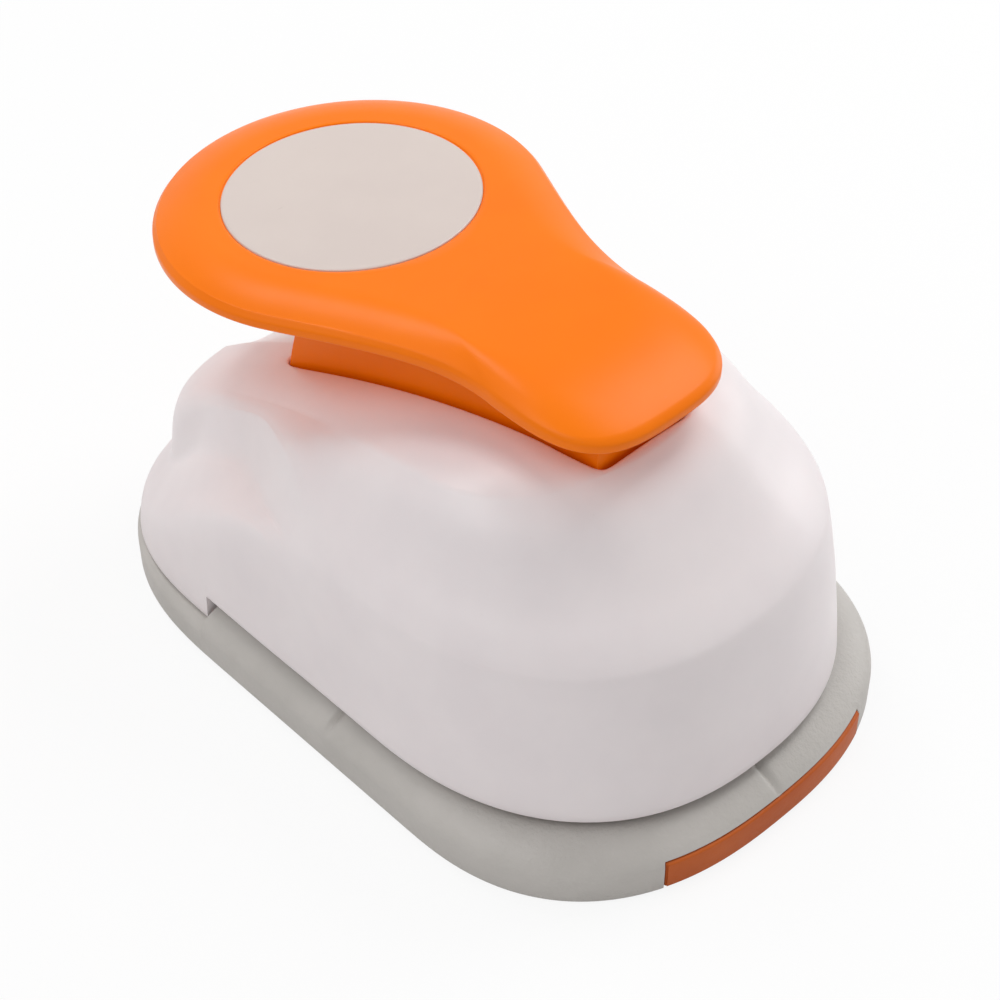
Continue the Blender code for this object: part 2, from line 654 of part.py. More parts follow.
def make_lever(look):
    """The lever: paddle, skirt, hinge barrel, pushing rib and the heel that the lock holds."""
    lever = make_paddle()
    rear_half = skirt_half_width(SKIRT_REAR_Y) - SKIRT_WALL / 2
    front_half = skirt_half_width(SKIRT_FRONT_Y) - SKIRT_WALL / 2
    front_top = paddle_top(SKIRT_FRONT_Y) - PADDLE_THICKNESS * SKIRT_BITE_SHARE
    rib_half = skirt_half_width(DIE_CENTRE_Y) - SKIRT_WALL / 2
    barrel_half = skirt_half_width(HINGE_Y) - SKIRT_WALL / 4
    heel_half = HEEL_WIDTH / 2
    add(lever,
        skirt_side("right side", 1.0),
        skirt_side("left side", -1.0),
        skirt_rear_wall("rear wall", rear_half, SKIRT_REAR_LOW, skirt_rear_top(), SKIRT_WALL),
        block("front wall", -front_half, front_half, SKIRT_FRONT_Y + GAP, SKIRT_FRONT_Y + SKIRT_WALL,
              SKIRT_FRONT_LOW + BARREL_RADIUS, front_top),
        block("rib", -rib_half, rib_half, DIE_CENTRE_Y - RIB_LENGTH / 2, DIE_CENTRE_Y + RIB_LENGTH / 2,
              RIB_LOW, RIB_LOW + RIB_THICKNESS),
        skirt_rear_wall("heel", heel_half, HEEL_LOW, SKIRT_REAR_LOW + SKIRT_WALL, SKIRT_WALL),
        cross_cylinder("barrel", BARREL_RADIUS, HINGE_Y, HINGE_Z, barrel_half))
    cut(lever,
        cross_cylinder("pin hole", HINGE_PIN_RADIUS + GAP, HINGE_Y, HINGE_Z, barrel_half + OVERRUN),
        heel_window(),
        inlay_disc("inlay seat", PUNCH_RADIUS + GAP, INLAY_THICKNESS + GAP, OVERRUN))
    return finish(lever, "lever", look, pivot=(0, HINGE_Y, HINGE_Z))


def heel_window():
    """The window in the heel, drawn where the lock's tongue meets it and turned back to rest."""
    half = LOCK_TONGUE_WIDTH / 2 + GAP
    window = block("window", -half, half, THROAT_END_Y - OVERRUN, SKIRT_REAR_Y + OVERRUN,
                   LOCK_LOW - GAP, LOCK_TOP + GAP)
    hinge = Vector((0, HINGE_Y, HINGE_Z))
    turn = Matrix.Translation(hinge) @ Matrix.Rotation(LEVER_TRAVEL, 4, "X") @ Matrix.Translation(-hinge)
    window.data.transform(turn)
    return window


def inlay_disc(name, radius, depth, above=0.0):
    """A disc square to the paddle's flat, its top face in the flat."""
    disc = cylinder(name, radius, (0.0, 0.0), -depth, above)
    tilt = Matrix.Rotation(-atan2(PADDLE_RISE_SHARE, 1.0), 4, "X")
    disc.data.transform(Matrix.Translation((0.0, PAD_CENTRE_Y, PADDLE_HEIGHT)) @ tilt)
    return disc


def make_inlay(look):
    """The round plate let into the lever's pad, as wide as the circle that the punch cuts."""
    disc = inlay_disc("inlay", PUNCH_RADIUS, INLAY_THICKNESS)
    return finish(disc, "lever_inlay", look)


def boss_with_rib(name, x, y, wall_x, wall_y):
    """A screw boss inside the housing and the rib that ties it to the wall."""
    low = DECK_TOP + GAP
    boss = cylinder(name, BOSS_RADIUS, (x, y), low, BOSS_TOP, SMALL_STEPS)
    half = BOSS_RIB_THICKNESS / 2
    if abs(wall_x - x) > abs(wall_y - y):
        rib = block("rib", min(x, wall_x), max(x, wall_x), y - half, y + half, low, BOSS_RIB_TOP)
    else:
        rib = block("rib", x - half, x + half, min(y, wall_y), max(y, wall_y), low, REAR_RIB_TOP)
    return add(boss, rib)


def rear_rib_end(x):
    """How far back the rear bosses' ribs reach into the housing's rear wall, at a distance from X = 0."""
    inset = REAR_RIB_INSET
    across = (x / (HOUSING_WIDTH / 2 - inset)) ** HOUSING_REAR_POWER
    length = HOUSING_REAR_Y - inset - HOUSING_REAR_CENTRE
    return HOUSING_REAR_CENTRE + length * (1.0 - across) ** (1.0 / HOUSING_REAR_POWER)


def make_housing(look):
    """The upper housing: a domed shell with the lever's slot, the paper slot and screw bosses."""
    outer = dome_rings(0.0, SHOULDER_HEIGHT + GAP)
    inner = dome_rings(HOUSING_WALL, SHOULDER_HEIGHT + GAP)
    housing = loft("housing", list(reversed(inner)) + outer)
    wall_x = (HOUSING_WIDTH - HOUSING_WALL) / 2
    wall_y = rear_rib_end(REAR_SCREW_X)
    for side in (-1.0, 1.0):
        side_x = side * HOUSING_SCREW_X
        rear_x = side * REAR_SCREW_X
        add(housing,
            boss_with_rib("side boss", side_x, HOUSING_SCREW_Y, side * wall_x, HOUSING_SCREW_Y),
            boss_with_rib("rear boss", rear_x, REAR_SCREW_Y, rear_x, wall_y))
    front_y = SKIRT_FRONT_Y - SLOT_GAP
    rear_y = SKIRT_REAR_Y + SLOT_GAP
    front_half = skirt_half_width(front_y) + SLOT_GAP
    rear_half = skirt_half_width(rear_y) + SLOT_GAP
    corners = [(-front_half, front_y), (front_half, front_y), (rear_half, rear_y), (-rear_half, rear_y)]
    slot = prism("slot", corners, HINGE_Z, CREST_HEIGHT + OVERRUN)
    half = BASE_WIDTH / 2
    throat = block("throat", -half, half, -BASE_LENGTH / 2, THROAT_END_Y, 0.0, HOUSING_EDGE_HEIGHT)
    cut(housing, slot, throat)
    hole_top = BOSS_TOP - BOSS_RIB_THICKNESS
    for place in housing_screw_places():
        cut(housing, cylinder("screw hole", SCREW_RADIUS + GAP, place, 0.0, hole_top, SMALL_STEPS))
    return finish(housing, "upper_housing", look)


def housing_screw_places():
    """Where the four long screws stand."""
    side = [(x, HOUSING_SCREW_Y) for x in mirrored(HOUSING_SCREW_X)]
    rear = [(x, REAR_SCREW_Y) for x in mirrored(REAR_SCREW_X)]
    return side + rear


def cover_screw_places():
    """Where the two short screws in the front of the cover stand."""
    return [(x, COVER_SCREW_Y) for x in mirrored(COVER_SCREW_X)]


def frame_screw_places():
    """Where the guide frame's two screws stand."""
    return [(x, FRAME_SCREW_Y) for x in mirrored(FRAME_SCREW_X)]


def die_screw_places():
    """Where the four screws in the die plate's corners stand."""
    x = DIE_WIDTH / 2 - DIE_SCREW_INSET
    y = DIE_LENGTH / 2 - DIE_SCREW_INSET
    return [(side, DIE_CENTRE_Y + end) for side in mirrored(x) for end in mirrored(y)]


def base_rings():
    """Rings of the base from the hollow below the deck, round the foot and up to the deck's top."""
    rings = [(BASE_WALL, DECK_LOW), (BASE_WALL, 0.0), (BASE_FOOT_CHAMFER, 0.0), (0.0, BASE_FOOT_CHAMFER)]
    rise = DECK_TOP - BASE_WALL_HEIGHT
    for inward, upward in LEDGE_SHARES:
        rings.append((LEDGE_WIDTH * inward, BASE_WALL_HEIGHT + rise * upward))
    return [[Vector((x, y, height)) for x, y in base_outline(inset)] for inset, height in rings]


def make_base(look):
    """The base: ledge, deck with the die's seat, rear shoulder, lock notch and marks."""
    base = loft("base", base_rings())
    for x, y in housing_screw_places() + cover_screw_places():
        add(base, cylinder("boss", BOSS_RADIUS, (x, y), COVER_THICKNESS + GAP, DECK_LOW + GAP, SMALL_STEPS))
    cut(base,
        rear_shoulder(),
        rounded_plate("die seat", DIE_WIDTH + 2 * GAP, DIE_LENGTH + 2 * GAP,
                      DECK_TOP - DIE_PLATE_THICKNESS - GAP, DECK_TOP + OVERRUN),
        cylinder("collar hole", COLLAR_RADIUS + GAP, (0.0, DIE_CENTRE_Y), 0.0, DECK_TOP),
        block("heel opening", -HEEL_WIDTH / 2 - GAP, HEEL_WIDTH / 2 + GAP, THROAT_END_Y,
              SKIRT_REAR_Y - GAP, 0.0, DECK_TOP + OVERRUN),
        block("lock notch", -LOCK_GRIP_WIDTH / 2 - GAP, LOCK_GRIP_WIDTH / 2 + GAP,
              -BASE_LENGTH / 2 - OVERRUN, LOCK_BAR_FRONT_Y, -OVERRUN, LOCK_TOP + GAP))
    for x, y in housing_screw_places():
        cut(base, cylinder("screw hole", SCREW_RADIUS + GAP, (x, y), 0.0, DECK_TOP + OVERRUN, SMALL_STEPS))
    for x, y in frame_screw_places():
        cut(base, cylinder("screw hole", SCREW_RADIUS + GAP, (x, y), 0.0, DECK_TOP + OVERRUN, SMALL_STEPS))
    high = DECK_TOP - SCREW_RADIUS
    for place in cover_screw_places():
        cut(base, cylinder("screw hole", SCREW_RADIUS + GAP, place, 0.0, high, SMALL_STEPS))
    low = DECK_LOW + GAP
    for place in die_screw_places():
        cut(base, cylinder("screw hole", DIE_SCREW_RADIUS + GAP, place, low, DECK_TOP, SMALL_STEPS))
    cut(base, *alignment_marks())
    return finish(base, "base", look)


def rear_shoulder():
    """Cutter for the seat of the housing's rear wall: outside the wall's inner face and behind the throat."""
    outer = base_outline(-OVERRUN)
    inner = housing_outline(HOUSING_WALL + GAP)
    low = SHOULDER_HEIGHT
    high = DECK_TOP + OVERRUN
    rings = [[Vector((x, y, low)) for x, y in outer], [Vector((x, y, high)) for x, y in outer],
             [Vector((x, y, high)) for x, y in inner], [Vector((x, y, low)) for x, y in inner]]
    ring = loft("shoulder", rings, closed=True)
    end = BASE_LENGTH
    return cut(ring, block("front part", -end, end, -end, THROAT_END_Y - GAP, -OVERRUN, high + OVERRUN))


def rounded_plate(name, width, length, low, high):
    """An upright prism over a rectangle with round corners, centred on the die."""
    corners = []
    quarter = SMALL_STEPS // 4
    places = ((1, 1), (-1, 1), (-1, -1), (1, -1))
    for turn, (side, end) in enumerate(places):
        for step in range(quarter + 1):
            angle = pi / 2 * (turn + step / quarter)
            corners.append((side * (width / 2 - DIE_CORNER) + DIE_CORNER * cos(angle),
                            DIE_CENTRE_Y + end * (length / 2 - DIE_CORNER) + DIE_CORNER * sin(angle)))
    return prism(name, corners, low, high)


def alignment_marks():
    """Cutters for the grooves in the ledge that show where the circle's middle lies."""
    half = MARK_WIDTH / 2
    high = DECK_TOP + OVERRUN
    edge = BASE_LENGTH / 2
    marks = [mark_groove("front mark", (0.0, -edge), (0.0, 1.0), half, high)]
    for side in (-1.0, 1.0):
        start = (side * BASE_WIDTH / 2, DIE_CENTRE_Y)
        marks.append(mark_groove("side mark", start, (-side, 0.0), half, high))
    return marks


def mark_groove(name, start, inward, half, high):
    """A V-shaped groove that runs inward from the base's edge, tilted along the ledge."""
    across = Vector((-inward[1], inward[0], 0.0))
    along = Vector((inward[0], inward[1], 0.0))
    origin = Vector((start[0], start[1], 0.0))
    rise = DECK_TOP - BASE_WALL_HEIGHT
    rings = []
    for run, floor in ((0.0, BASE_WALL_HEIGHT + rise / 4), (MARK_LENGTH, DECK_TOP - MARK_DEPTH)):
        middle = origin + along * run
        ring = [middle + Vector((0.0, 0.0, floor - MARK_DEPTH / 2)),
                middle + across * half + Vector((0.0, 0.0, high)),
                middle - across * half + Vector((0.0, 0.0, high))]
        rings.append(ring)
    return loft(name, rings)


def make_cover(look):
    """The plate that closes the base, with the hole that the cut discs fall through."""
    inset = BASE_WALL + GAP
    rings = [[Vector((x, y, height)) for x, y in base_outline(inset)] for height in (0.0, COVER_THICKNESS)]
    cover = loft("cover", rings)
    side = LOCK_GRIP_WIDTH / 2 + GAP
    cut(cover,
        cylinder("disc hole", COVER_HOLE_RADIUS, (0.0, DIE_CENTRE_Y), -OVERRUN, COVER_THICKNESS + OVERRUN),
        block("grip room", -side, side, -BASE_LENGTH, LOCK_BAR_FRONT_Y, -OVERRUN, COVER_THICKNESS + OVERRUN))
    for x, y in housing_screw_places() + cover_screw_places():
        cut(cover,
            cylinder("head seat", SCREW_HEAD_RADIUS + GAP, (x, y), -OVERRUN, SCREW_HEAD_HEIGHT + GAP,
                     SMALL_STEPS),
            cylinder("screw hole", SCREW_RADIUS + GAP, (x, y), -OVERRUN, COVER_THICKNESS + OVERRUN,
                     SMALL_STEPS))
    return finish(cover, "bottom_cover", look)


def screw(x, y, head_low, head_high, tip, radius, head_radius):
    """A plain screw: a turned profile of head and shank. The shank may point up or down."""
    if tip > head_high:
        profile = [(head_radius, head_low), (head_radius, head_high), (radius, head_high), (radius, tip)]
    else:
        profile = [(radius, tip), (radius, head_low), (head_radius, head_low), (head_radius, head_high)]
    return loft("screw", [circle(size, (x, y), height, SMALL_STEPS) for size, height in profile])


def finish_set(name, look, pieces):
    """Give a set of alike pieces numbered names."""
    for number, piece in enumerate(pieces, start=1):
        finish(piece, f"{name}_{number}", look)


def make_screws(steel):
    """All the screws."""
    head_top = SCREW_HEAD_HEIGHT
    finish_set("housing_screw", steel, [
        screw(x, y, GAP, head_top, BOSS_TOP - BOSS_RIB_THICKNESS - GAP, SCREW_RADIUS, SCREW_HEAD_RADIUS)
        for x, y in housing_screw_places()])
    finish_set("cover_screw", steel, [
        screw(x, y, GAP, head_top, DECK_TOP - SCREW_RADIUS - GAP, SCREW_RADIUS, SCREW_HEAD_RADIUS)
        for x, y in cover_screw_places()])
    frame_low = DECK_LOW - GAP - SCREW_HEAD_HEIGHT
    finish_set("frame_screw", steel, [
        screw(x, y, frame_low, DECK_LOW - GAP, GUIDE_TOP - SCREW_RADIUS, SCREW_RADIUS, SCREW_HEAD_RADIUS)
        for x, y in frame_screw_places()])
    finish_set("die_screw", steel, [
        screw(x, y, DECK_TOP - DIE_SCREW_HEAD_HEIGHT, DECK_TOP, DECK_LOW + 2 * GAP,
              DIE_SCREW_RADIUS, DIE_SCREW_HEAD_RADIUS)
        for x, y in die_screw_places()])
    top = PRESSER_TOP + GAP + SCREW_HEAD_HEIGHT
    tip = PUNCH_REST + PUNCH_HEIGHT - PUNCH_CROWN / 2
    finish_set("punch_screw", steel, [
        screw(x, DIE_CENTRE_Y, PRESSER_TOP + GAP, top, tip, SCREW_RADIUS, SCREW_HEAD_RADIUS)
        for x in mirrored(PUNCH_SCREW_X)])


def make_die_plate(look):
    """The die: a plate let into the deck, with a collar below it and the cutting hole through both."""
    plate = rounded_plate("die", DIE_WIDTH, DIE_LENGTH, DECK_TOP - DIE_PLATE_THICKNESS, DECK_TOP)
    add(plate, cylinder("collar", COLLAR_RADIUS, (0.0, DIE_CENTRE_Y), COLLAR_LOW, DECK_TOP - GAP))
    cut(plate, cylinder("cutting hole", PUNCH_RADIUS + GAP, (0.0, DIE_CENTRE_Y), 0.0, DECK_TOP + OVERRUN))
    for x, y in die_screw_places():
        cut(plate,
            cylinder("screw hole", DIE_SCREW_RADIUS + GAP, (x, y), 0.0, DECK_TOP + OVERRUN, SMALL_STEPS),
            cylinder("head seat", DIE_SCREW_HEAD_RADIUS + GAP, (x, y), DECK_TOP - DIE_SCREW_HEAD_HEIGHT - GAP,
                     DECK_TOP + OVERRUN, SMALL_STEPS))
    return finish(plate, "die_plate", look)


def cheek_inner():
    """Distance from X = 0 to the inner face of the guide frame's cheeks."""
    return skirt_half_width(HINGE_Y) + CHEEK_GAP


def make_guide_frame(look):
    """The frame above the paper slot: punch guide, cheeks for the hinge, and a foot behind the throat."""
    half = GUIDE_WIDTH / 2
    tongue = GUIDE_TONGUE_WIDTH / 2
    foot = GUIDE_FOOT_WIDTH / 2
    right = [(tongue, GUIDE_TONGUE_Y), (tongue, GUIDE_FRONT_Y - tongue / 4), (half - tongue / 2, GUIDE_FRONT_Y),
             (half, GUIDE_FRONT_Y + tongue / 2), (half, GUIDE_REAR_Y), (foot, GUIDE_REAR_Y), (foot, GUIDE_FOOT_Y)]
    corners = right + [(-x, y) for x, y in reversed(right)]
    frame = prism("guide", corners, GUIDE_LOW, GUIDE_TOP)
    add(frame, block("foot", -foot, foot, THROAT_END_Y + GAP, GUIDE_FOOT_Y, DECK_TOP + GAP, GUIDE_TOP - GAP))
    inner = cheek_inner()
    reach = inner + CHEEK_THICKNESS + OVERRUN
    for side in (-1.0, 1.0):
        near = side * inner
        far = side * (inner + CHEEK_THICKNESS)
        add(frame,
            block("cheek", min(near, far), max(near, far), HINGE_Y - CHEEK_RADIUS, HINGE_Y + CHEEK_RADIUS,
                  GUIDE_TOP - GAP, HINGE_Z),
            cheek_crown(side, inner))
    heel = HEEL_WIDTH / 2 + GAP
    cut(frame,
        cylinder("punch guide", PUNCH_RADIUS + GAP, (0.0, DIE_CENTRE_Y), 0.0, GUIDE_TOP + OVERRUN),
        cross_cylinder("pin hole", HINGE_PIN_RADIUS + GAP, HINGE_Y, HINGE_Z, reach),
        block("heel opening", -heel, heel, THROAT_END_Y - OVERRUN, SKIRT_REAR_Y + GAP,
              0.0, GUIDE_TOP + OVERRUN))
    for x in mirrored(POST_X):
        cut(frame, cylinder("post seat", POST_RADIUS + GAP, (x, DIE_CENTRE_Y), GUIDE_TOP - POST_SEAT,
                            GUIDE_TOP + OVERRUN, SMALL_STEPS))
    hole_top = GUIDE_TOP - SCREW_RADIUS + GAP
    for place in frame_screw_places():
        cut(frame, cylinder("screw hole", SCREW_RADIUS + GAP, place, 0.0, hole_top, SMALL_STEPS))
    return finish(frame, "guide_frame", look)


def cheek_crown(side, inner):
    """The round top of one cheek, about the hinge pin."""
    rings = []
    for x in sorted((side * inner, side * (inner + CHEEK_THICKNESS))):
        rings.append([Vector((x, HINGE_Y + CHEEK_RADIUS * cos(tau * step / SMALL_STEPS),
                              HINGE_Z + CHEEK_RADIUS * sin(tau * step / SMALL_STEPS)))
                      for step in range(SMALL_STEPS)])
    return loft("crown", rings)


def make_hinge_pin(look):
    """The hinge pin, and the retaining rings on its ends."""
    reach = cheek_inner() + CHEEK_THICKNESS + GAP
    pin = cross_cylinder("pin", HINGE_PIN_RADIUS, HINGE_Y, HINGE_Z, reach + 2 * CLIP_THICKNESS)
    finish(pin, "hinge_pin", look)
    clips = []
    for side in (-1.0, 1.0):
        ends = sorted((side * reach, side * (reach + CLIP_THICKNESS)))
        rings = []
        for x, radius in ((ends[0], HINGE_PIN_RADIUS + GAP), (ends[0], HINGE_PIN_RADIUS + CLIP_WIDTH),
                          (ends[1], HINGE_PIN_RADIUS + CLIP_WIDTH), (ends[1], HINGE_PIN_RADIUS + GAP)):
            rings.append([Vector((x, HINGE_Y + radius * cos(tau * step / SMALL_STEPS),
                                  HINGE_Z + radius * sin(tau * step / SMALL_STEPS)))
                          for step in range(SMALL_STEPS)])
        clips.append(loft("clip", rings, closed=True))
    finish_set("pin_clip", look, clips)


def make_punch(look):
    """The punch: a steel cup, open below, whose rim cuts the circle."""
    centre = (0.0, DIE_CENTRE_Y)
    top = PUNCH_REST + PUNCH_HEIGHT
    bore = PUNCH_RADIUS - PUNCH_WALL
    profile = [(bore, top - PUNCH_CROWN), (bore, PUNCH_REST + PUNCH_WALL),
               (PUNCH_RADIUS - PUNCH_WALL / 4, PUNCH_REST), (PUNCH_RADIUS, PUNCH_REST), (PUNCH_RADIUS, top)]
    punch = loft("punch", [circle(radius, centre, height) for radius, height in profile])
    for x in mirrored(PUNCH_SCREW_X):
        cut(punch, cylinder("screw hole", SCREW_RADIUS + GAP, (x, DIE_CENTRE_Y), top - PUNCH_CROWN / 2 - GAP,
                            top + OVERRUN, SMALL_STEPS))
    return finish(punch, "punch", look, pivot=(0, DIE_CENTRE_Y, PUNCH_REST))


def make_presser(look):
    """The presser: a disc on the punch, two wings for the posts, and a rounded rib for the lever."""
    presser = cylinder("presser", PRESSER_RADIUS, (0.0, DIE_CENTRE_Y), PRESSER_LOW, PRESSER_TOP)
    reach = POST_X + SPRING_MEAN_RADIUS + SPRING_WIRE_RADIUS
    half = WING_LENGTH / 2
    rib_half = PRESSER_RIB_WIDTH / 2
    rib = PRESSER_RIB_RADIUS
    add(presser,
        block("wings", -reach, reach, DIE_CENTRE_Y - half, DIE_CENTRE_Y + half,
              PRESSER_LOW + GAP, PRESSER_TOP - GAP),
        block("web", -rib_half, rib_half, DIE_CENTRE_Y - rib, DIE_CENTRE_Y + rib,
              PRESSER_TOP - GAP, PRESSER_RIB_CENTRE_Z),
        cross_cylinder("rib", rib, DIE_CENTRE_Y, PRESSER_RIB_CENTRE_Z, rib_half, 2 * SMALL_STEPS))
    high = PRESSER_TOP + OVERRUN
    for x in mirrored(POST_X):
        cut(presser, cylinder("post hole", POST_RADIUS + GAP, (x, DIE_CENTRE_Y), 0.0, high, SMALL_STEPS))
    for x in mirrored(PUNCH_SCREW_X):
        cut(presser, cylinder("screw hole", SCREW_RADIUS + GAP, (x, DIE_CENTRE_Y), 0.0, high, SMALL_STEPS))
    return finish(presser, "presser", look, pivot=(0, DIE_CENTRE_Y, PUNCH_REST))


def make_posts_and_springs(steel, wire):
    """Guide posts, and the coil springs round them, left and right."""
    seat = GUIDE_TOP - POST_SEAT + GAP
    for x, side in zip(mirrored(POST_X), ("left", "right")):
        post = cylinder("post", POST_RADIUS, (x, DIE_CENTRE_Y), seat, POST_TOP, SMALL_STEPS)
        finish(post, "guide_post_" + side, steel)
        spring = coil("spring", (x, DIE_CENTRE_Y), GUIDE_TOP + GAP, PRESSER_LOW)
        finish(spring, "return_spring_" + side, wire)


def coil(name, centre, low, high):
    """A compression spring: a round wire swept along a helix."""
    start = low + SPRING_WIRE_RADIUS
    climb = high - SPRING_WIRE_RADIUS - start
    steps = int(SPRING_TURNS * SPRING_STEPS)
    rings = []
    for step in range(steps + 1):
        angle = tau * SPRING_TURNS * step / steps
        outward = Vector((cos(angle), sin(angle), 0.0))
        middle = Vector((centre[0], centre[1], start + climb * step / steps)) + outward * SPRING_MEAN_RADIUS
        ring = []
        for corner in range(WIRE_STEPS):
            turn = tau * corner / WIRE_STEPS
            lift = Vector((0.0, 0.0, SPRING_WIRE_RADIUS * sin(turn)))
            ring.append(middle + outward * (SPRING_WIRE_RADIUS * cos(turn)) + lift)
        rings.append(ring)
    return loft(name, rings)


def make_lock(look):
    """The storage lock: a grip in the base's front, rails past the die, and a tongue at the rear."""
    half = LOCK_GRIP_WIDTH / 2
    grip = loft("grip", [[Vector((x, y, height)) for x, y in base_outline(0.0)]
                         for height in (LOCK_GRIP_LOW, LOCK_TOP)])
    inner = loft("behind", [[Vector((x, y, height)) for x, y in base_outline(LOCK_GRIP_THICKNESS)]
                            for height in (-OVERRUN, DECK_TOP)])
    wide = BASE_WIDTH
    cut(grip, inner,
        block("rear part", -wide, wide, LOCK_BAR_FRONT_Y, BASE_LENGTH, -OVERRUN, DECK_TOP),
        block("left part", -wide, -half, -BASE_LENGTH, BASE_LENGTH, -OVERRUN, DECK_TOP),
        block("right part", half, wide, -BASE_LENGTH, BASE_LENGTH, -OVERRUN, DECK_TOP))
    rail = LOCK_RAIL_OUTER
    back = LOCK_REAR_BAR_Y + LOCK_REAR_BAR_LENGTH
    bar_y = LOCK_BAR_FRONT_Y + LOCK_BAR_LENGTH
    neck = half - LOCK_GRIP_THICKNESS
    plate = block("plate", -rail, rail, LOCK_BAR_FRONT_Y, back, LOCK_LOW, LOCK_TOP)
    room = rail - LOCK_RAIL_WIDTH
    cut(plate, block("room for the die", -room, room, bar_y, LOCK_REAR_BAR_Y, -OVERRUN, DECK_TOP))
    front = -BASE_LENGTH / 2 + LOCK_GRIP_THICKNESS
    tongue = LOCK_TONGUE_WIDTH / 2
    add(plate,
        block("tongue", -tongue, tongue, back - GAP, LOCK_TONGUE_END_Y, LOCK_LOW, LOCK_TOP),
        block("neck", -neck, neck, front, LOCK_BAR_FRONT_Y + GAP, LOCK_LOW, LOCK_TOP),
        grip)
    return finish(plate, "lock_slide", look)


def main():
    """Build every piece of the punch."""
    for old in list(bpy.data.objects):
        bpy.data.objects.remove(old)
    white = material("white_plastic", (0.85, 0.80, 0.80), 0.35)
    orange = material("orange_plastic", (0.92, 0.21, 0.01), 0.35)
    terracotta = material("terracotta_plastic", (0.39, 0.09, 0.03), 0.45)
    grey = material("grey_plastic", (0.40, 0.39, 0.37), 0.55)
    inlay = material("inlay_film", (0.66, 0.57, 0.53), 0.35)
    steel = material("steel", (0.60, 0.60, 0.62), 0.30, 1.0)
    zinc = material("cast_zinc", (0.45, 0.45, 0.47), 0.45, 1.0)
    nylon = material("nylon", (0.70, 0.69, 0.66), 0.50)
    make_base(grey)
    make_cover(grey)
    make_die_plate(steel)
    make_guide_frame(zinc)
    make_housing(white)
    make_lever(orange)
    make_inlay(inlay)
    make_punch(steel)
    make_presser(nylon)
    make_posts_and_springs(steel, steel)
    make_hinge_pin(steel)
    make_lock(terracotta)
    make_screws(steel)


main()
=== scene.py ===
# %% [markdown]
# # A circle punch, dressed
# A circle punch is a hand tool that cuts discs out of paper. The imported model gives
# every piece its true place and every joint its range, and this file gives the pieces
# that show their fine shape and finish. Lengths are in millimetres, as in a maker's
# drawing, and turn to metres when a mesh is made.

# %% Load the frame
import math

import bpy
import numpy as np
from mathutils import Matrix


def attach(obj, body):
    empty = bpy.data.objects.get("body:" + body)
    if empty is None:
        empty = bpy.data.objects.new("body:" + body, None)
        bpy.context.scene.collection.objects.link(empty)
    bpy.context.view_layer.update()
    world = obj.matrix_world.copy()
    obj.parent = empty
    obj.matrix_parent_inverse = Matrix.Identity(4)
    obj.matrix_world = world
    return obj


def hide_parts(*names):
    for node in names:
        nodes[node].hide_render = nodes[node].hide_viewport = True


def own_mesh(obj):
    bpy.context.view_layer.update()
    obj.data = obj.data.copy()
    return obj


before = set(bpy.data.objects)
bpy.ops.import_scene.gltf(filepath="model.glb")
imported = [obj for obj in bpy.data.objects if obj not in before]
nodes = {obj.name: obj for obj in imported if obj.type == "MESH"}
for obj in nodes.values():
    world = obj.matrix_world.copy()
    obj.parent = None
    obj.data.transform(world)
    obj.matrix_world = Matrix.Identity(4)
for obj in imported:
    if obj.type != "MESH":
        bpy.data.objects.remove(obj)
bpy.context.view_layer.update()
MM = 0.001

# %% [markdown]
# ## Helpers for surfaces
# Every new piece is a grid of points: rows run along a profile and columns run round
# the piece. Rows that close on themselves too make a shell with a wall. A grid is more
# exact than modelling by hand, and the sign of its volume tells which way the faces point.

# %% Grid to mesh
def add_object(name, data):
    """An object for a mesh, a camera or a lamp, linked to the scene."""
    made = bpy.data.objects.new(name, data)
    bpy.context.collection.objects.link(made)
    return made


def grid_piece(name, points, body, close_rows=False, caps=False, sharp=180):
    """A mesh from points[row, column, xyz] in mm: faces join neighbours, the columns close round, and
    edges past an angle are sharp. The volume is a sixth of the sum of (b - a) x (c - a) . a over faces."""
    rows, columns = points.shape[:2]
    index = np.arange(rows * columns).reshape(rows, columns)
    below = index if close_rows else index[:-1]
    above = np.roll(index, -1, axis=0) if close_rows else index[1:]
    quads = np.stack([below, np.roll(below, -1, axis=1), np.roll(above, -1, axis=1), above], axis=-1)
    faces = quads.reshape(-1, 4)
    flat = points.reshape(-1, 3)
    a, b, c, d = (flat[faces[:, number]] for number in range(4))
    volume = np.einsum("ij,ij->", np.cross(b - a, c - a) + np.cross(c - a, d - a), a) / 6
    ends = [index[0][::-1], index[-1]] if caps else []
    for ring in ends:
        centre = flat[ring].mean(axis=0)
        spokes = flat[ring] - centre
        volume += np.sum(np.cross(spokes, np.roll(spokes, -1, axis=0)) @ centre) / 6
    listed = faces.tolist() + [ring.tolist() for ring in ends]
    if volume < 0:
        listed = [face[::-1] for face in listed]
    mesh = bpy.data.meshes.new(name)
    mesh.from_pydata((flat * MM).tolist(), [], listed)
    mesh.shade_smooth()
    mesh.set_sharp_from_angle(angle=math.radians(sharp))
    piece = add_object(name, mesh)
    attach(piece, body)
    print(f"{name}: {len(listed)} faces, {abs(volume) / 1000:.2f} cm3")
    return piece


# %% [markdown]
# ## The camera
# The photograph looks down on the punch from the front left, at 44 degrees, through a
# lens of about 84 mm on a 36 mm sensor. These figures were solved from the round
# inlay, the straight sides of the base and the height of the lever.

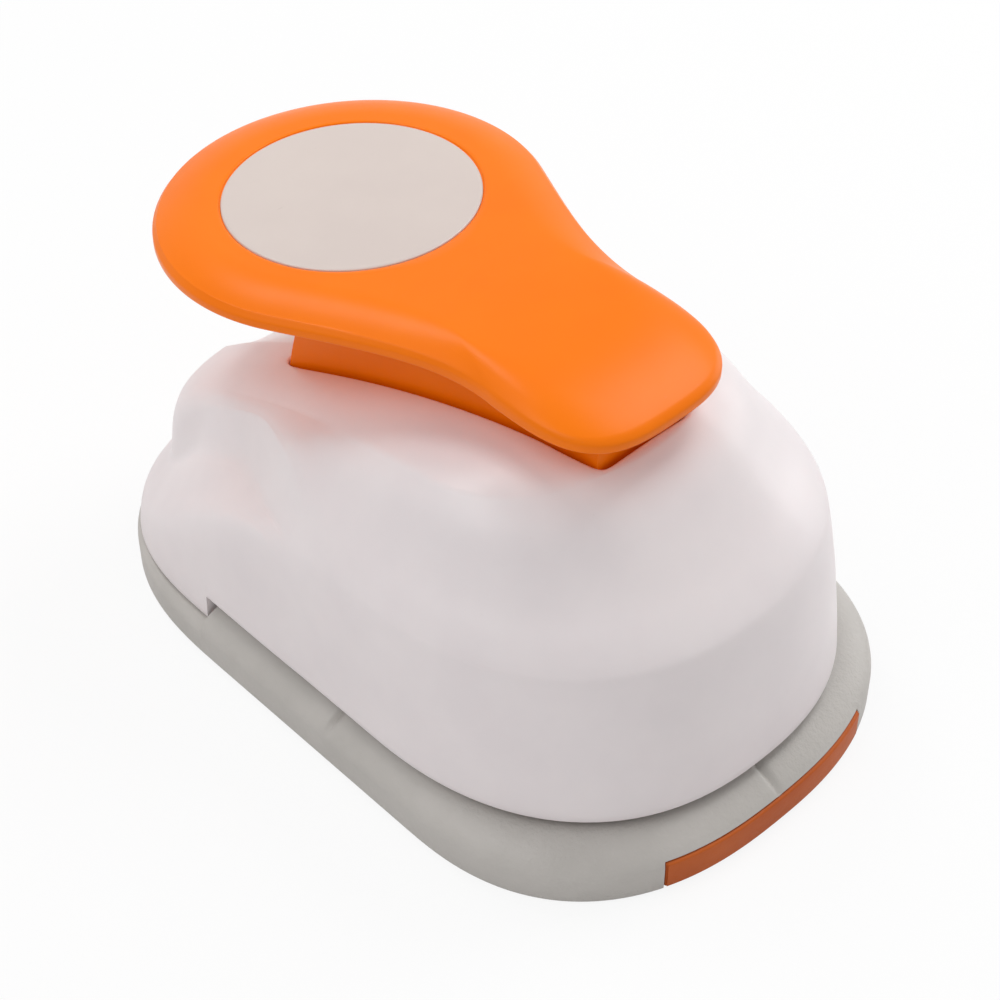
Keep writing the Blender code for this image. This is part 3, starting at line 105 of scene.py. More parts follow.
# %% Camera
AZIMUTH, ELEVATION = math.radians(-43.4), math.radians(43.9)
CAMERA_PLACE = (-172.3, -183.3, 264.8)
camera_data = bpy.data.cameras.new("camera")
camera_data.sensor_width = 36.0
camera_data.lens = 83.9
camera_data.clip_start = 10 * MM
camera = add_object("camera", camera_data)
camera.location = [value * MM for value in CAMERA_PLACE]
camera.rotation_euler = (math.pi / 2 - ELEVATION, 0.0, AZIMUTH)
bpy.context.scene.camera = camera
print(f"camera: {camera_data.lens:.1f} mm lens")

# %% [markdown]
# ## Plan outlines
# The base, the housing and its crest are all rounded rectangles whose ends are
# superellipses, because the real ends are fuller than arcs. One function gives them all,
# on the same columns, so that rings can be joined. A pair holds a front and a rear value.

# %% Outlines
BASE_HALF_WIDTH, BASE_HALF_LENGTH = 39.8, 59.2
BASE_CENTRES, BASE_POWERS = (-24.0, 19.4), (2.45, 2.7)
HOUSING_HALF, HOUSING_FRONT, HOUSING_REAR = 37.7, -55.6, 58.9
HOUSING_CENTRES, HOUSING_POWERS = (-14.0, 24.0), (2.33, 2.75)


def columns_with(extra, turn_count, side_count):
    """Column numbers 0..1 right side, 1..2 rear end, 2..3 left side, 3..4 front end, with extra ones."""
    turn = np.linspace(0.0, 1.0, turn_count, endpoint=False)
    side = np.linspace(0.0, 1.0, side_count, endpoint=False)
    every = np.concatenate([side, 1.0 + turn, 2.0 + side, 3.0 + turn, extra])
    return np.unique(np.round(every % 4.0, 6))


def outline(columns, half_width, ends, centres, powers):
    """Plan points of a rounded rectangle: straight sides, and |x/a|^p + |y/b|^p = 1 at each end."""
    x = np.full_like(columns, half_width)
    y = np.empty_like(columns)
    part = np.floor(columns).astype(int)
    share = columns - part
    angle = math.pi * share
    right, rear, left, front = (part == number for number in range(4))
    span = centres[1] - centres[0]
    y[right] = centres[0] + span * share[right]
    y[left] = centres[1] - span * share[left]
    x[left] = -half_width
    for chosen, end, centre, power, sign in zip((front, rear), ends, centres, powers, (-1.0, 1.0)):
        cosine = np.cos(angle[chosen])
        x[chosen] = sign * half_width * np.sign(cosine) * np.abs(cosine) ** (2 / power)
        y[chosen] = centre + (end - centre) * np.sin(angle[chosen]) ** (2 / power)
    return np.stack([x, y], axis=-1)


def base_ring(columns, inset):
    """The base's outline, inset."""
    end = BASE_HALF_LENGTH - inset
    return outline(columns, BASE_HALF_WIDTH - inset, (-end, end), BASE_CENTRES, BASE_POWERS)


def housing_ring(columns, inset):
    """The housing's outline at its foot, inset."""
    ends = (HOUSING_FRONT + inset, HOUSING_REAR - inset)
    return outline(columns, HOUSING_HALF - inset, ends, HOUSING_CENTRES, HOUSING_POWERS)


# %% [markdown]
# ### Columns at a given place
# A step needs a column on each side, and a groove needs several. Where a line meets a
# curve there is no plain formula, so the place is found by halving.

# %% Columns and halving
def column_at(ring, part, axis, value):
    """The column numbers, within part 0..3 of a ring, at which x (axis 0) or y (axis 1) takes a value."""
    numbers = part + np.linspace(0.0005, 0.9995, 4000)
    spots = ring(numbers, 0.0)[:, axis] - value
    return numbers[np.nonzero(np.sign(spots[1:]) != np.sign(spots[:-1]))[0]]


def beside(places, gap):
    """Two columns for each place, a small gap before and after it."""
    return [*(places - gap), *(places + gap)]


def just_before(past, count, top=1.0):
    """For each of count columns, the last value of 0..top before past(values) turns true, by halving."""
    low, high = np.zeros(count), np.full(count, top)
    for _ in range(26):
        middle = (low + high) / 2
        found = past(middle)
        low, high = np.where(found, low, middle), np.where(found, middle, high)
    return low


def beyond(x, y, power):
    """Outside a superellipse, |x|^p + |y|^p > 1, where x and y are shares of its half axes."""
    return np.abs(x) ** power + np.abs(y) ** power > 1


def drawn_in(plan, anchor, outside):
    """Plan points moved straight to an anchor until outside(x, y) is no longer true."""
    def past(share):
        return outside(*(anchor + (plan - anchor) * share[:, None]).T)

    return anchor + (plan - anchor) * just_before(past, len(plan))[:, None]


# %% [markdown]
# ## The crest of the dome
# The housing's top falls in a slow curve from the lever's root to the rear, where a
# shallow channel parts it into two humps. The crest is the line at which the walls end
# and the nearly flat plateau round the lever begins.

# %% Crest
DECK_TOP, SHOULDER, THROAT_END, EDGE_HEIGHT, DIE_Y = 9.0, 5.8, 23.6, 10.5, -6.0
CREST_FRONT, CREST_REAR, CREST_POWERS = -31.6, 52.0, (2.0, 3.0)
CREST_HALF, CREST_NARROWING, CROWN = 23.8, 1.3, 2.4
CREST_TOP, CREST_FALL, CREST_BEND = 55.3, 30.1, 1.81
CHANNEL_DEPTH, CHANNEL_HALF, CHANNEL_START, CHANNEL_FULL = 3.0, 10.0, 29.0, 39.0


def ease(value, low, high):
    """0 below low, 1 above high, and the cubic 3s^2 - 2s^3 between."""
    share = np.clip((value - low) / (high - low), 0.0, 1.0)
    return share * share * (3 - 2 * share)


def crest_line(y):
    """Height of the top along the middle: it falls by a power of the share of the way back."""
    share = np.maximum(y - CREST_FRONT, 0.0) / (HOUSING_REAR - CREST_FRONT)
    return CREST_TOP - CREST_FALL * share ** CREST_BEND


def channel(plan):
    """Depth of the channel between the two rear humps: a parabola across, eased in along."""
    across = np.maximum(1 - (plan[:, 0] / CHANNEL_HALF) ** 2, 0.0)
    return CHANNEL_DEPTH * across * ease(plan[:, 1], CHANNEL_START, CHANNEL_FULL)


def crest_ring(columns, inset):
    """The crest's outline: a rounded rectangle that gets narrower towards the rear."""
    ends = (CREST_FRONT + inset, CREST_REAR - inset)
    ring = outline(columns, 1.0, ends, HOUSING_CENTRES, CREST_POWERS)
    ring[:, 0] *= CREST_HALF - inset - CREST_NARROWING * ease(ring[:, 1], *HOUSING_CENTRES)
    return ring


# %% [markdown]
# ## The slot for the lever
# The lever's skirt passes through a tapered slot in the top. A Boolean could cut it, but
# rows that shrink from the crest's outline to the slot's give it a rounded lip as well.
# In front, where the slot comes near the crest, the crest is lifted so as to leave no cliff.

# %% Slot outline
SKIRT_FRONT, SKIRT_REAR, SKIRT_HALF_FRONT, SKIRT_HALF_REAR = -29.0, 30.4, 8.5, 15.0
SLOT_REAR, SLOT_SPINE, SLOT_POWER, SLOT_GAP, SLOT_LIP = 29.4, 19.0, 14.0, 0.7, 0.45
RISE_WIDTH, LIFT, LIFT_WIDTH = 7.0, 1.25, 5.0


def skirt_half(y):
    """Half the skirt's width, straight between its front and rear values."""
    share = (y - SKIRT_FRONT) / (SKIRT_REAR - SKIRT_FRONT)
    return SKIRT_HALF_FRONT + (SKIRT_HALF_REAR - SKIRT_HALF_FRONT) * share


def on_slot(plan, gap):
    """Plan points drawn in towards the slot's middle line to its outline, a superellipse with nearly
    square corners that leaves a gap round the skirt."""
    spine = np.column_stack([np.zeros(len(plan)), np.clip(plan[:, 1], -SLOT_SPINE, SLOT_SPINE)])
    front, rear = SKIRT_FRONT - gap, SLOT_REAR + gap

    def outside(x, y):
        along = (2 * y - front - rear) / (rear - front)
        return beyond(x / (skirt_half(y) + gap), along, SLOT_POWER)

    return drawn_in(plan, spine, outside)


def plateau_rise(columns):
    """The plateau's rise from crest to slot, a tanh of its width w, and the crest's lift, exp(-(w/5)^2)."""
    crest = crest_ring(columns, 0.0)
    width = np.linalg.norm(crest - on_slot(crest, SLOT_GAP + SLOT_LIP), axis=1)
    return CROWN * np.tanh(width / RISE_WIDTH), LIFT * np.exp(-(width / LIFT_WIDTH) ** 2)


def top_height(plan, share, inset, rise, lift):
    """Height of the plateau: the crest's, plus a rise that shrinks with the square of the share out."""
    crest = crest_line(plan[:, 1]) - CROWN + lift
    return crest + rise * (1 - share ** 2) - inset - channel(plan)


# %% [markdown]
# ## The dome's walls
# Low in front the wall is nearly upright, then a soft crease leads into the dome. Behind,
# the wall ends in a lip and a sloping shelf, from which an upper tier rises. That could be
# sculpted, but numbers are easier to mend against a photograph. Six stations hold the
# profile as shares of the way in and up, at 15 places, and cubics carry it between.

# %% Dome profile
STATION_SHARES = np.array([.318, .483, .597, .710, .823, .927])
STATION_Y = HOUSING_FRONT + STATION_SHARES * (HOUSING_REAR - HOUSING_FRONT)
INWARD_SHARES = np.array([
    [0, .03, .06, .09, .12, .145, .165, .185, .22, .27, .35, .48, .64, .81, 1],
    [0, .02, .04, .065, .09, .12, .15, .185, .24, .31, .40, .52, .66, .82, 1],
    [0, .01, .03, .06, .13, .22, .30, .38, .48, .59, .65, .73, .82, .91, 1],
    [0, .01, .03, .07, .16, .34, .52, .68, .77, .85, .88, .91, .94, .97, 1],
    [0, .01, .03, .08, .18, .35, .52, .67, .75, .81, .84, .88, .92, .96, 1],
    [0, .02, .05, .10, .17, .27, .37, .46, .50, .54, .60, .68, .78, .89, 1]])
UPWARD_SHARES = np.array([
    [0, .16, .28, .39, .475, .54, .585, .62, .645, .672, .71, .765, .845, .935, 1],
    [0, .14, .27, .39, .48, .55, .60, .645, .68, .72, .765, .815, .88, .95, 1],
    [0, .17, .34, .50, .645, .68, .695, .71, .784, .909, .945, .968, .982, .992, 1],
    [0, .15, .30, .45, .57, .64, .70, .75, .85, .955, .97, .981, .989, .995, 1],
    [0, .11, .21, .31, .39, .48, .57, .65, .76, .87, .92, .952, .975, .99, 1],
    [0, .08, .15, .21, .26, .32, .37, .42, .57, .72, .83, .905, .95, .98, 1]])
LAST_PLACE = INWARD_SHARES.shape[1] - 1
DOME_FOOT = SHOULDER + 0.3


# %% Dome surface
def hermite(share, low, high, leaving, arriving):
    """The cubic from low to high over shares 0..1 that has the given slopes at its ends."""
    square, cube = share ** 2, share ** 3
    return ((2 * cube - 3 * square + 1) * low + (cube - 2 * square + share) * leaving
            + (3 * square - 2 * cube) * high + (cube - square) * arriving)


def at_stations(table, y):
    """A row of the table for each y: cubics between the stations, level past both ends. A slope is the
    mean of its neighbours', at most three times the flatter one, so that there are no waves."""
    steps = np.diff(STATION_Y)
    rises = np.diff(table, axis=0) / steps[:, None]
    limit = 3 * np.minimum(np.abs(rises[1:]), np.abs(rises[:-1]))
    same_way = np.sign(rises[1:]) == np.sign(rises[:-1])
    slopes = np.zeros_like(table)
    slopes[1:-1] = np.where(same_way, np.clip((rises[1:] + rises[:-1]) / 2, -limit, limit), 0.0)
    y = np.clip(y, STATION_Y[0], STATION_Y[-1])
    cell = np.clip(np.searchsorted(STATION_Y, y) - 1, 0, len(steps) - 1)
    width = steps[cell][:, None]
    share = (y - STATION_Y[cell])[:, None] / width
    return hermite(share, table[cell], table[cell + 1], width * slopes[cell], width * slopes[cell + 1])


def at_place(table, place):
    """Each column's own share at its profile place 0..14: cubics again, which never turn back."""
    pick = np.arange(len(place))
    cell = np.clip(np.floor(place).astype(int), 0, LAST_PLACE - 1)
    low, high = table[pick, cell], table[pick, cell + 1]
    before, after = table[pick, np.maximum(cell - 1, 0)], table[pick, np.minimum(cell + 2, LAST_PLACE)]
    cap = 3 * (high - low)
    leaving, arriving = np.clip((high - before) / 2, 0, cap), np.clip((after - low) / 2, 0, cap)
    return hermite(place - cell, low, high, leaving, arriving)


def dome_points(columns, places, inset):
    """A row of points for each row of profile places: one share of the way from the foot's outline to
    the crest's, and another of the way up to the top above."""
    outer, crest = housing_ring(columns, inset), crest_ring(columns, inset)
    inward, upward = at_stations(INWARD_SHARES, outer[:, 1]), at_stations(UPWARD_SHARES, outer[:, 1])
    lift = plateau_rise(columns)[1]
    rows = []
    for place in places:
        plan = outer + (crest - outer) * at_place(inward, place)[:, None]
        up = at_place(upward, place)
        top = crest_line(plan[:, 1]) - CROWN + lift - inset - channel(plan) * up
        rows.append(np.column_stack([plan, DOME_FOOT + (top - DOME_FOOT) * up]))
    return np.array(rows)


def edge_place(columns, inset, heights):
    """The profile place at which each column reaches a height."""
    def above(place):
        return dome_points(columns, place[None], inset)[0, :, 2] > heights

    return just_before(above, len(columns), float(LAST_PLACE))


# %% [markdown]
# ## The housing
# The housing is a white moulded shell, and here one grid: up the outside, over the
# plateau, round the slot's lip and back inside. Its edge lies higher over the paper slot
# and steps down behind it. From LEVEL_PLACE up all columns share their rows, so the step
# leaves no seam in the wall above.

# %% Housing shell
WALL, LEVEL_PLACE = 2.2, 2.2
OUTER_ROUND, INNER_ROUND, EDGE_BEVEL = 0.45, 0.3, 0.13
REAR_TURN_COLUMNS = (1.004, 1.008, 1.012, 1.988, 1.992, 1.996)
throat_at = np.concatenate([column_at(housing_ring, part, 1, THROAT_END) for part in (0, 2)])
housing_columns = columns_with([*beside(throat_at, 0.0006), *REAR_TURN_COLUMNS], 96, 30)


def housing_shell(columns):
    """Outer dome, plateau, slot lip, then back along the inside: one grid closed both ways."""
    crest, climb = crest_ring(columns, 0.0), plateau_rise(columns)

    def top_row(plan, share, inset):
        return np.column_stack([plan, top_height(plan, share, inset, *climb)])

    def plateau(shares, inset, gap):
        ring, hole = crest_ring(columns, inset), on_slot(crest, gap)
        return [top_row(hole + (ring - hole) * share, share, inset) for share in shares]

    edge = np.where(housing_ring(columns, 0.0)[:, 1] < THROAT_END, EDGE_HEIGHT, DOME_FOOT)
    start = edge_place(columns, 0.0, edge + OUTER_ROUND)
    low_places = start + (LEVEL_PLACE - start) * np.linspace(0, 1, 12, endpoint=False)[:, None]
    high_places = np.tile(np.linspace(LEVEL_PLACE, LAST_PLACE, 54)[:, None], len(start))
    rows = [*dome_points(columns, np.concatenate([low_places, high_places]), 0.0)]
    rows += plateau(np.linspace(0.94, 0.0, 16), 0.0, SLOT_GAP + SLOT_LIP)
    for turn in np.linspace(0.25, 1.0, 4) * math.pi / 2:
        rim = on_slot(crest, SLOT_GAP + SLOT_LIP * (1 - math.sin(turn)))
        rows.append(top_row(rim, 0.0, SLOT_LIP * (1 - math.cos(turn))))
    rows.append(top_row(on_slot(crest, SLOT_GAP), 0.0, WALL))
    rows += plateau(np.linspace(0.1, 0.9, 6), WALL, SLOT_GAP)
    start = edge_place(columns, WALL, edge + INNER_ROUND)
    back = np.linspace(1, 0, 30)[:, None]
    rows += [*dome_points(columns, start + (LAST_PLACE - start) * back, WALL)]
    outer_foot, inner_foot = rows[0][:, :2], rows[-1][:, :2]
    for inset, lift in ((WALL - INNER_ROUND, 0.0), (OUTER_ROUND, 0.0), (EDGE_BEVEL, EDGE_BEVEL)):
        rows.append(np.column_stack([outer_foot + (inner_foot - outer_foot) * inset / WALL, edge + lift]))
    return np.array(rows)


housing = grid_piece("housing_shell", housing_shell(housing_columns), "body", close_rows=True, sharp=50)
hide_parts("upper_housing")

# %% [markdown]
# ## The base
# The base is a grey tray: an upright wall, a rounded ledge round the deck and, behind
# the paper slot, a low shoulder on which the housing's wall stands. The lock's grip
# fills a notch in front. Small grooves in the ledge show where the circle's middle is.
# It could be a block with parts cut away, but one grid keeps the ledge smooth all round.

# %% Base columns
REAR_STEP, NOTCH_HALF, NOTCH_FRONT = THROAT_END - 0.3, 20.6, -40.0
MARK_DEPTH, MARK_HALF, MARK_SIDE = 0.7, 0.55, 30.0
step_at = column_at(base_ring, 1, 1, REAR_STEP)
notch_at = np.concatenate([column_at(base_ring, 3, 0, side * NOTCH_HALF) for side in (-1, 1)])
side_marks = [column_at(base_ring, part, 1, DIE_Y + gap)
              for part in (0, 2) for gap in np.linspace(-2.4, 2.4, 17)]
front_mark = [column_at(base_ring, 3, 0, side * gap) for side in (-1, 1) for gap in (.3, .6, 1.0, 1.6, 2.4)]
base_columns = columns_with(np.concatenate([beside(step_at, 0.0004), beside(notch_at, 0.0004),
                                            *side_marks, *front_mark]), 84, 22)


def groove(plan):
    """Depth of the marks: a bell about X = 0 in front, and about the circle's middle at each side."""
    front = np.exp(-(plan[:, 0] / MARK_HALF) ** 2) * (plan[:, 1] < NOTCH_FRONT)
    sides = np.exp(-((plan[:, 1] - DIE_Y) / MARK_HALF) ** 2) * (np.abs(plan[:, 0]) > MARK_SIDE)
    return MARK_DEPTH * (front + sides)


def about_die(plan, half_x, half_y, power):
    """Plan points drawn in to a superellipse about the die's centre."""
    return drawn_in(plan, (0.0, DIE_Y), lambda x, y: beyond(x / half_x, (y - DIE_Y) / half_y, power))


def meets_housing(outer, inner):
    """Share of the way from outer to inner points at which each meets the housing's outline behind."""
    rear_centre, rear_power = HOUSING_CENTRES[1], HOUSING_POWERS[1]

    def inside(share):
        x, y = (outer + (inner - outer) * share[:, None]).T
        along = np.maximum(y - rear_centre, 0.0) / (HOUSING_REAR - rear_centre)
        return ~beyond(x / HOUSING_HALF, along, rear_power)

    return just_before(inside, len(outer))


# %% Base shell
# The ledge's profile, as shares of its width and of its rise.
LEDGE_SHARES = ((0, 0), (.02, .14), (.06, .27), (.13, .41), (.22, .53), (.34, .66), (.48, .77), (.63, .87),
                (.80, .95), (1, 1))
LEDGE_WIDTH, LEDGE_FOOT, REAR_LEDGE_WIDTH, DECK_INSET = 6.2, 4.6, 4.0, 8.4
DIE_SEAT_X, DIE_SEAT_Y, SEAT_FLOOR, HOLE_R, HOLLOW = 28.3, 26.3, 6.8, 21.3, 2.4
# Inset and height of a row, and both again where it runs under the notch's roof.
FOOT_ROWS = ((0.8, 0.0, 0.60, 5.800), (0.3, 0.18, 0.50, 5.802), (0.05, 0.5, 0.45, 5.806),
             (0.0, 0.9, 0.42, 5.812))
HOLLOW_ROWS = ((2.38, 3.0, 2.2, 5.799), (2.4, 0.35, 1.6, 5.798), (2.1, 0.0, 1.0, 5.798))


def base_shell():
    """Foot, wall, ledge, deck, die seat and hollow underneath: one grid closed both ways."""
    outer = base_ring(base_columns, 0.0)
    behind = outer[:, 1] > REAR_STEP
    notch = (np.abs(outer[:, 0]) < NOTCH_HALF) & (outer[:, 1] < NOTCH_FRONT)
    rows = []

    def inset_by(inset):
        return base_ring(base_columns, inset)

    def level(plan, z):
        rows.append(np.column_stack([plan, np.full(len(plan), z)]))

    def row(inset, z, rear=None, roof=None, mark=0.0):
        """A ring at an inset and height, with another ring and height behind the slot or in the notch."""
        ring, height = inset_by(inset), np.full(len(outer), z)
        for where, other in ((behind, rear), (notch, roof)):
            if other is not None:
                ring = np.where(where[:, None], other[0], ring)
                height = np.where(where, other[1], height)
        rows.append(np.column_stack([ring, height - mark * groove(ring) * ~behind]))

    for inset, z, roof_inset, roof_z in FOOT_ROWS:
        row(inset, z, roof=(inset_by(roof_inset), roof_z))
    row(0.0, 2.6, (outer, 3.0), (inset_by(0.41), 5.818))
    deep = inset_by(REAR_LEDGE_WIDTH)
    width = meets_housing(outer, deep)
    for number, (inward, upward) in enumerate(LEDGE_SHARES):
        inset, z = LEDGE_WIDTH * inward, LEDGE_FOOT + (DECK_TOP - LEDGE_FOOT) * upward
        rear = outer + (deep - outer) * width[:, None] * inward
        rear_z = SHOULDER - (0.25 + 3.2 * width) * (1 - upward)
        roof = inset_by(max(inset, 0.41 + 0.01 * number)), max(z, 5.825 + 0.01 * number)
        row(inset, z, (rear, rear_z), roof, mark=min(1.6 * upward, 1.0))
    wall = housing_ring(base_columns, WALL + 0.3)
    row(6.5, DECK_TOP, (wall, SHOULDER + 0.05))
    row(7.2, DECK_TOP, (wall, DECK_TOP - 0.01), mark=0.6)
    row(DECK_INSET, DECK_TOP)
    deck = inset_by(DECK_INSET)
    seat = about_die(deck, DIE_SEAT_X, DIE_SEAT_Y, 12)
    for share in (0.7, 0.35, 0.0):
        level(seat + (deck - seat) * share, DECK_TOP)
    level(about_die(deck, DIE_SEAT_X - 0.05, DIE_SEAT_Y - 0.05, 12), SEAT_FLOOR)
    hole, under = about_die(deck, HOLE_R, HOLE_R, 2), inset_by(HOLLOW)
    level(hole, SEAT_FLOOR)
    for share in (0.0, 0.6, 1.0):
        level(hole + (under - hole) * share, SHOULDER)
    for inset, z, roof_inset, roof_z in HOLLOW_ROWS:
        row(inset, z, roof=(inset_by(roof_inset), roof_z))
    return np.array(rows)


# %% [markdown]
# ### The opening for the heel
# The lever's heel comes down through the base behind the paper slot. The opening has
# plain walls and doesn't follow the grid, so a Boolean with a block is the simplest way.

# %% Base with its opening
BASE_OPENING = ((-6.8, 6.8), (23.6, 30.1), (-1.0, 12.0))
BLOCK_SIDES = ((0, 1, 3, 2), (4, 6, 7, 5), (0, 4, 5, 1), (2, 3, 7, 6), (0, 2, 6, 4), (1, 5, 7, 3))


def open_through(piece, x, y, z):
    """Take a block with ends in x, y and z out of a piece: an exact Boolean, kept as the piece's mesh."""
    block = bpy.data.meshes.new("opening")
    block.from_pydata([(a * MM, b * MM, c * MM) for a in x for b in y for c in z], [], BLOCK_SIDES)
    tool = add_object("opening", block)
    change = piece.modifiers.new("opening", "BOOLEAN")
    change.operation, change.solver, change.object = "DIFFERENCE", "EXACT", tool
    cut = bpy.data.meshes.new_from_object(piece.evaluated_get(bpy.context.evaluated_depsgraph_get()))
    piece.modifiers.clear()
    piece.data = cut
    bpy.data.objects.remove(tool)
    print(f"{piece.name}: {len(cut.polygons)} faces with its opening")


base = grid_piece("base_shell", base_shell(), "body", close_rows=True, sharp=38)
open_through(base, *BASE_OPENING)
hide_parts("base")

# %% [markdown]
# ## The face of the lock's grip
# The grip of the lock is a terracotta bar that closes the notch in front of the base.
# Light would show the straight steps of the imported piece, so a bar with rounded edges is
# carried along the true curve and laid over its face.

# %% Grip face
GRIP_HALF, GRIP_BACK = 20.2, 1.6
GRIP_PROFILE = ((-0.08, 0.95), (-0.08, 5.15), (-0.02, 5.40), (0.18, 5.52), (0.45, 5.55), (GRIP_BACK, 5.55),
                (GRIP_BACK, 0.55), (0.45, 0.55), (0.18, 0.58), (-0.02, 0.70))


def grip_face():
    """A closed section of (inset, height) carried along the base's front outline."""
    ends = [column_at(base_ring, 3, 0, side * GRIP_HALF)[0] for side in (-1, 1)]
    along = np.linspace(min(ends), max(ends), 72)
    lines = [np.column_stack([base_ring(along, inset), np.full(len(along), z)]) for inset, z in GRIP_PROFILE]
    return np.stack(lines, axis=1)


grip = grid_piece("lock_grip_face", grip_face(), "lock", caps=True, sharp=50)

# %% [markdown]
# ## The lever
# The lever is one orange moulding: a paddle that ends in a round pad, and a box-shaped
# skirt below it that turns about the hinge pin. A plate with a bevel would have the same
# edge all round. The real edge gets wider towards the tip, so the paddle's rows are its
# outline drawn in towards the middle of the pad.

# %% Paddle
PAD_Y, PAD_R, TIP_Y, TIP_LENGTH, TIP_HALF, TIP_POWER = 30.1, 29.1, -34.4, 17.9, 15.8, 3.2
PAD_JOIN, WAIST = math.radians(-25.0), 3.3
PAD_HEIGHT, PADDLE_SLOPE, TIP_BEND = 63.2, 0.065, 2.7
SOFT_SHARE, SOFT_DROP, PADDLE_THICK = 0.74, 2.3, 2.4
SEAT_R, SEAT_DEPTH = 19.25, 1.3
# The seat's rim as ways out and down, and the paddle's rim as ways in and down.
SEAT_RIM = ((-0.21, 1.2), (-0.21, 0.30), (-0.03, 0.24), (0.0, 0.18), (0.06, 0.08), (0.22, 0.0))
PADDLE_RIM = ((0.30, 0.17), (0.12, 0.33), (0.03, 0.52), (0.0, 0.75), (0.0, 1.5), (0.05, 1.68), (0.18, 1.77),
              (0.4, 1.8), (1.3, 1.8), (1.6, 1.72))


def paddle_outline(count):
    """Half of it: a superellipse tip, a cubic flank with a slight waist, and an arc of the round pad."""
    tip_y = TIP_Y + TIP_LENGTH
    turn = math.pi / 2 * (1 - np.linspace(0, 1, count, endpoint=False))
    bow = 2 / TIP_POWER
    tip = np.stack([TIP_HALF * np.cos(turn) ** bow, tip_y - TIP_LENGTH * np.sin(turn) ** bow], axis=-1)
    join_x, join_y = PAD_R * math.cos(PAD_JOIN), PAD_Y + PAD_R * math.sin(PAD_JOIN)
    share = np.linspace(0, 1, count // 2, endpoint=False)
    slope = -(join_y - tip_y) * math.tan(PAD_JOIN)
    flank_x = hermite(share, TIP_HALF, join_x, 0.0, slope) - WAIST * share * (1 - share) ** 2
    flank = np.stack([flank_x, tip_y + (join_y - tip_y) * share], axis=-1)
    angle = np.linspace(PAD_JOIN, math.pi / 2, count + 1)
    pad = np.stack([PAD_R * np.cos(angle), PAD_Y + PAD_R * np.sin(angle)], axis=-1)
    half = np.concatenate([tip, flank, pad])
    other = half[1:-1][::-1] * np.array([-1.0, 1.0])
    return np.concatenate([half, other])


def paddle_plane(y):
    """The middle line of the paddle's top: a straight rise towards the front that bends down past y 0."""
    return PAD_HEIGHT + PADDLE_SLOPE * (PAD_Y - y) - TIP_BEND * (np.minimum(y, 0.0) / TIP_Y) ** 2


def paddle():
    """Seat for the inlay, flat, soft edge, rim with small rounds, lip, and the hollow underside.
    The soft edge drops by the square of the share of the way out past 0.74."""
    edge = paddle_outline(56)
    middle = np.array([0.0, PAD_Y])
    away = edge - middle
    far = np.linalg.norm(away, axis=1, keepdims=True)
    direction = away / far
    rows = []

    def ring(plan, down, share=0.0):
        soft = SOFT_DROP * (np.maximum(share - SOFT_SHARE, 0.0) / (1 - SOFT_SHARE)) ** 2
        rows.append(np.column_stack([plan, paddle_plane(plan[:, 1]) - np.ravel(soft) - down]))

    for share in (0.02, 0.5, 0.98):
        ring(middle + direction * SEAT_R * share, SEAT_DEPTH)
    for out, down in SEAT_RIM:
        ring(middle + direction * (SEAT_R + out), down)
    inner = (SEAT_R + SEAT_RIM[-1][0]) / far
    for step in np.linspace(0.04, 1.0, 34)[:-1]:
        share = np.minimum(inner + (1 - inner) * step, 1 - 0.75 / far)
        ring(middle + away * share, 0.0, share)
    ring(edge - direction * 0.55, 0.07, 1 - 0.55 / far)
    edge_z = paddle_plane(edge[:, 1]) - SOFT_DROP
    for inset, down in PADDLE_RIM:
        rows.append(np.column_stack([edge - direction * inset, edge_z - down]))
    for share in (0.925, 0.90, 0.86, 0.80, 0.74, 0.6, 0.4, 0.2, 0.02):
        ring(middle + away * share, PADDLE_THICK, share)
    return np.array(rows)


lever_pieces = [grid_piece("lever_paddle", paddle(), "lever_arm", caps=True, sharp=40)]

# %% [markdown]
# ### The skirt
# The skirt is a tapered box without a floor. Its rear wall isn't flat but an arc about
# the hinge, because it slides down through the housing's slot as the lever turns.

# %% Skirt
HINGE_Y, HINGE_Z, REACH, SKIRT_WALL = -40.0, 27.0, 70.4, 2.2
SKIRT_BOTTOM, SKIRT_FALL, FALL_START, FALL_LENGTH, UNDER_PADDLE = 44.0, 13.0, -25.6, 56.0, 2.0


def hinge_arc(radius, z):
    """y behind the hinge at which a circle about it has the height z."""
    return HINGE_Y + np.sqrt(radius ** 2 - (z - HINGE_Z) ** 2)


def skirt():
    """Rows run down the outside and up the inside; columns go round a box whose rear is an arc."""
    across, along = np.linspace(-0.95, 0.95, 15), np.linspace(0.004, 0.988, 44)
    x_share = np.concatenate([across, np.ones(44), across[::-1], -np.ones(44)])
    y_share = np.concatenate([np.zeros(15), along, np.ones(15), along[::-1]])

    def spaced(rear, inset):
        return SKIRT_FRONT + inset + (rear - SKIRT_FRONT - 2 * inset) * y_share

    def ring(level, inset):
        y = spaced(SKIRT_REAR, inset)
        bottom = SKIRT_BOTTOM - SKIRT_FALL * np.clip((y - FALL_START) / FALL_LENGTH, 0.0, 1.0)
        z = bottom + (paddle_plane(y) - UNDER_PADDLE - bottom) * level
        y = spaced(hinge_arc(REACH, z), inset)
        return np.column_stack([x_share * (skirt_half(y) - inset), y, z])

    rows = [ring(level, 0.0) for level in np.linspace(1.0, 0.02, 16)]
    rows += [ring(0.004, 0.12), ring(0.0, 0.4), ring(0.0, SKIRT_WALL - 0.4), ring(0.004, SKIRT_WALL - 0.12)]
    rows += [ring(level, SKIRT_WALL) for level in np.linspace(0.02, 1.0, 12)]
    return np.array(rows)


lever_pieces += [grid_piece("lever_skirt", skirt(), "lever_arm", close_rows=True, sharp=50)]


# %% [markdown]
# ### What the skirt hides
# Two arms join the skirt to a barrel on the hinge pin, a rib pushes the presser, and a
# heel behind has a window for the lock's tongue. Most are flat plates across X, so one
# function makes them from an outline of y and z.

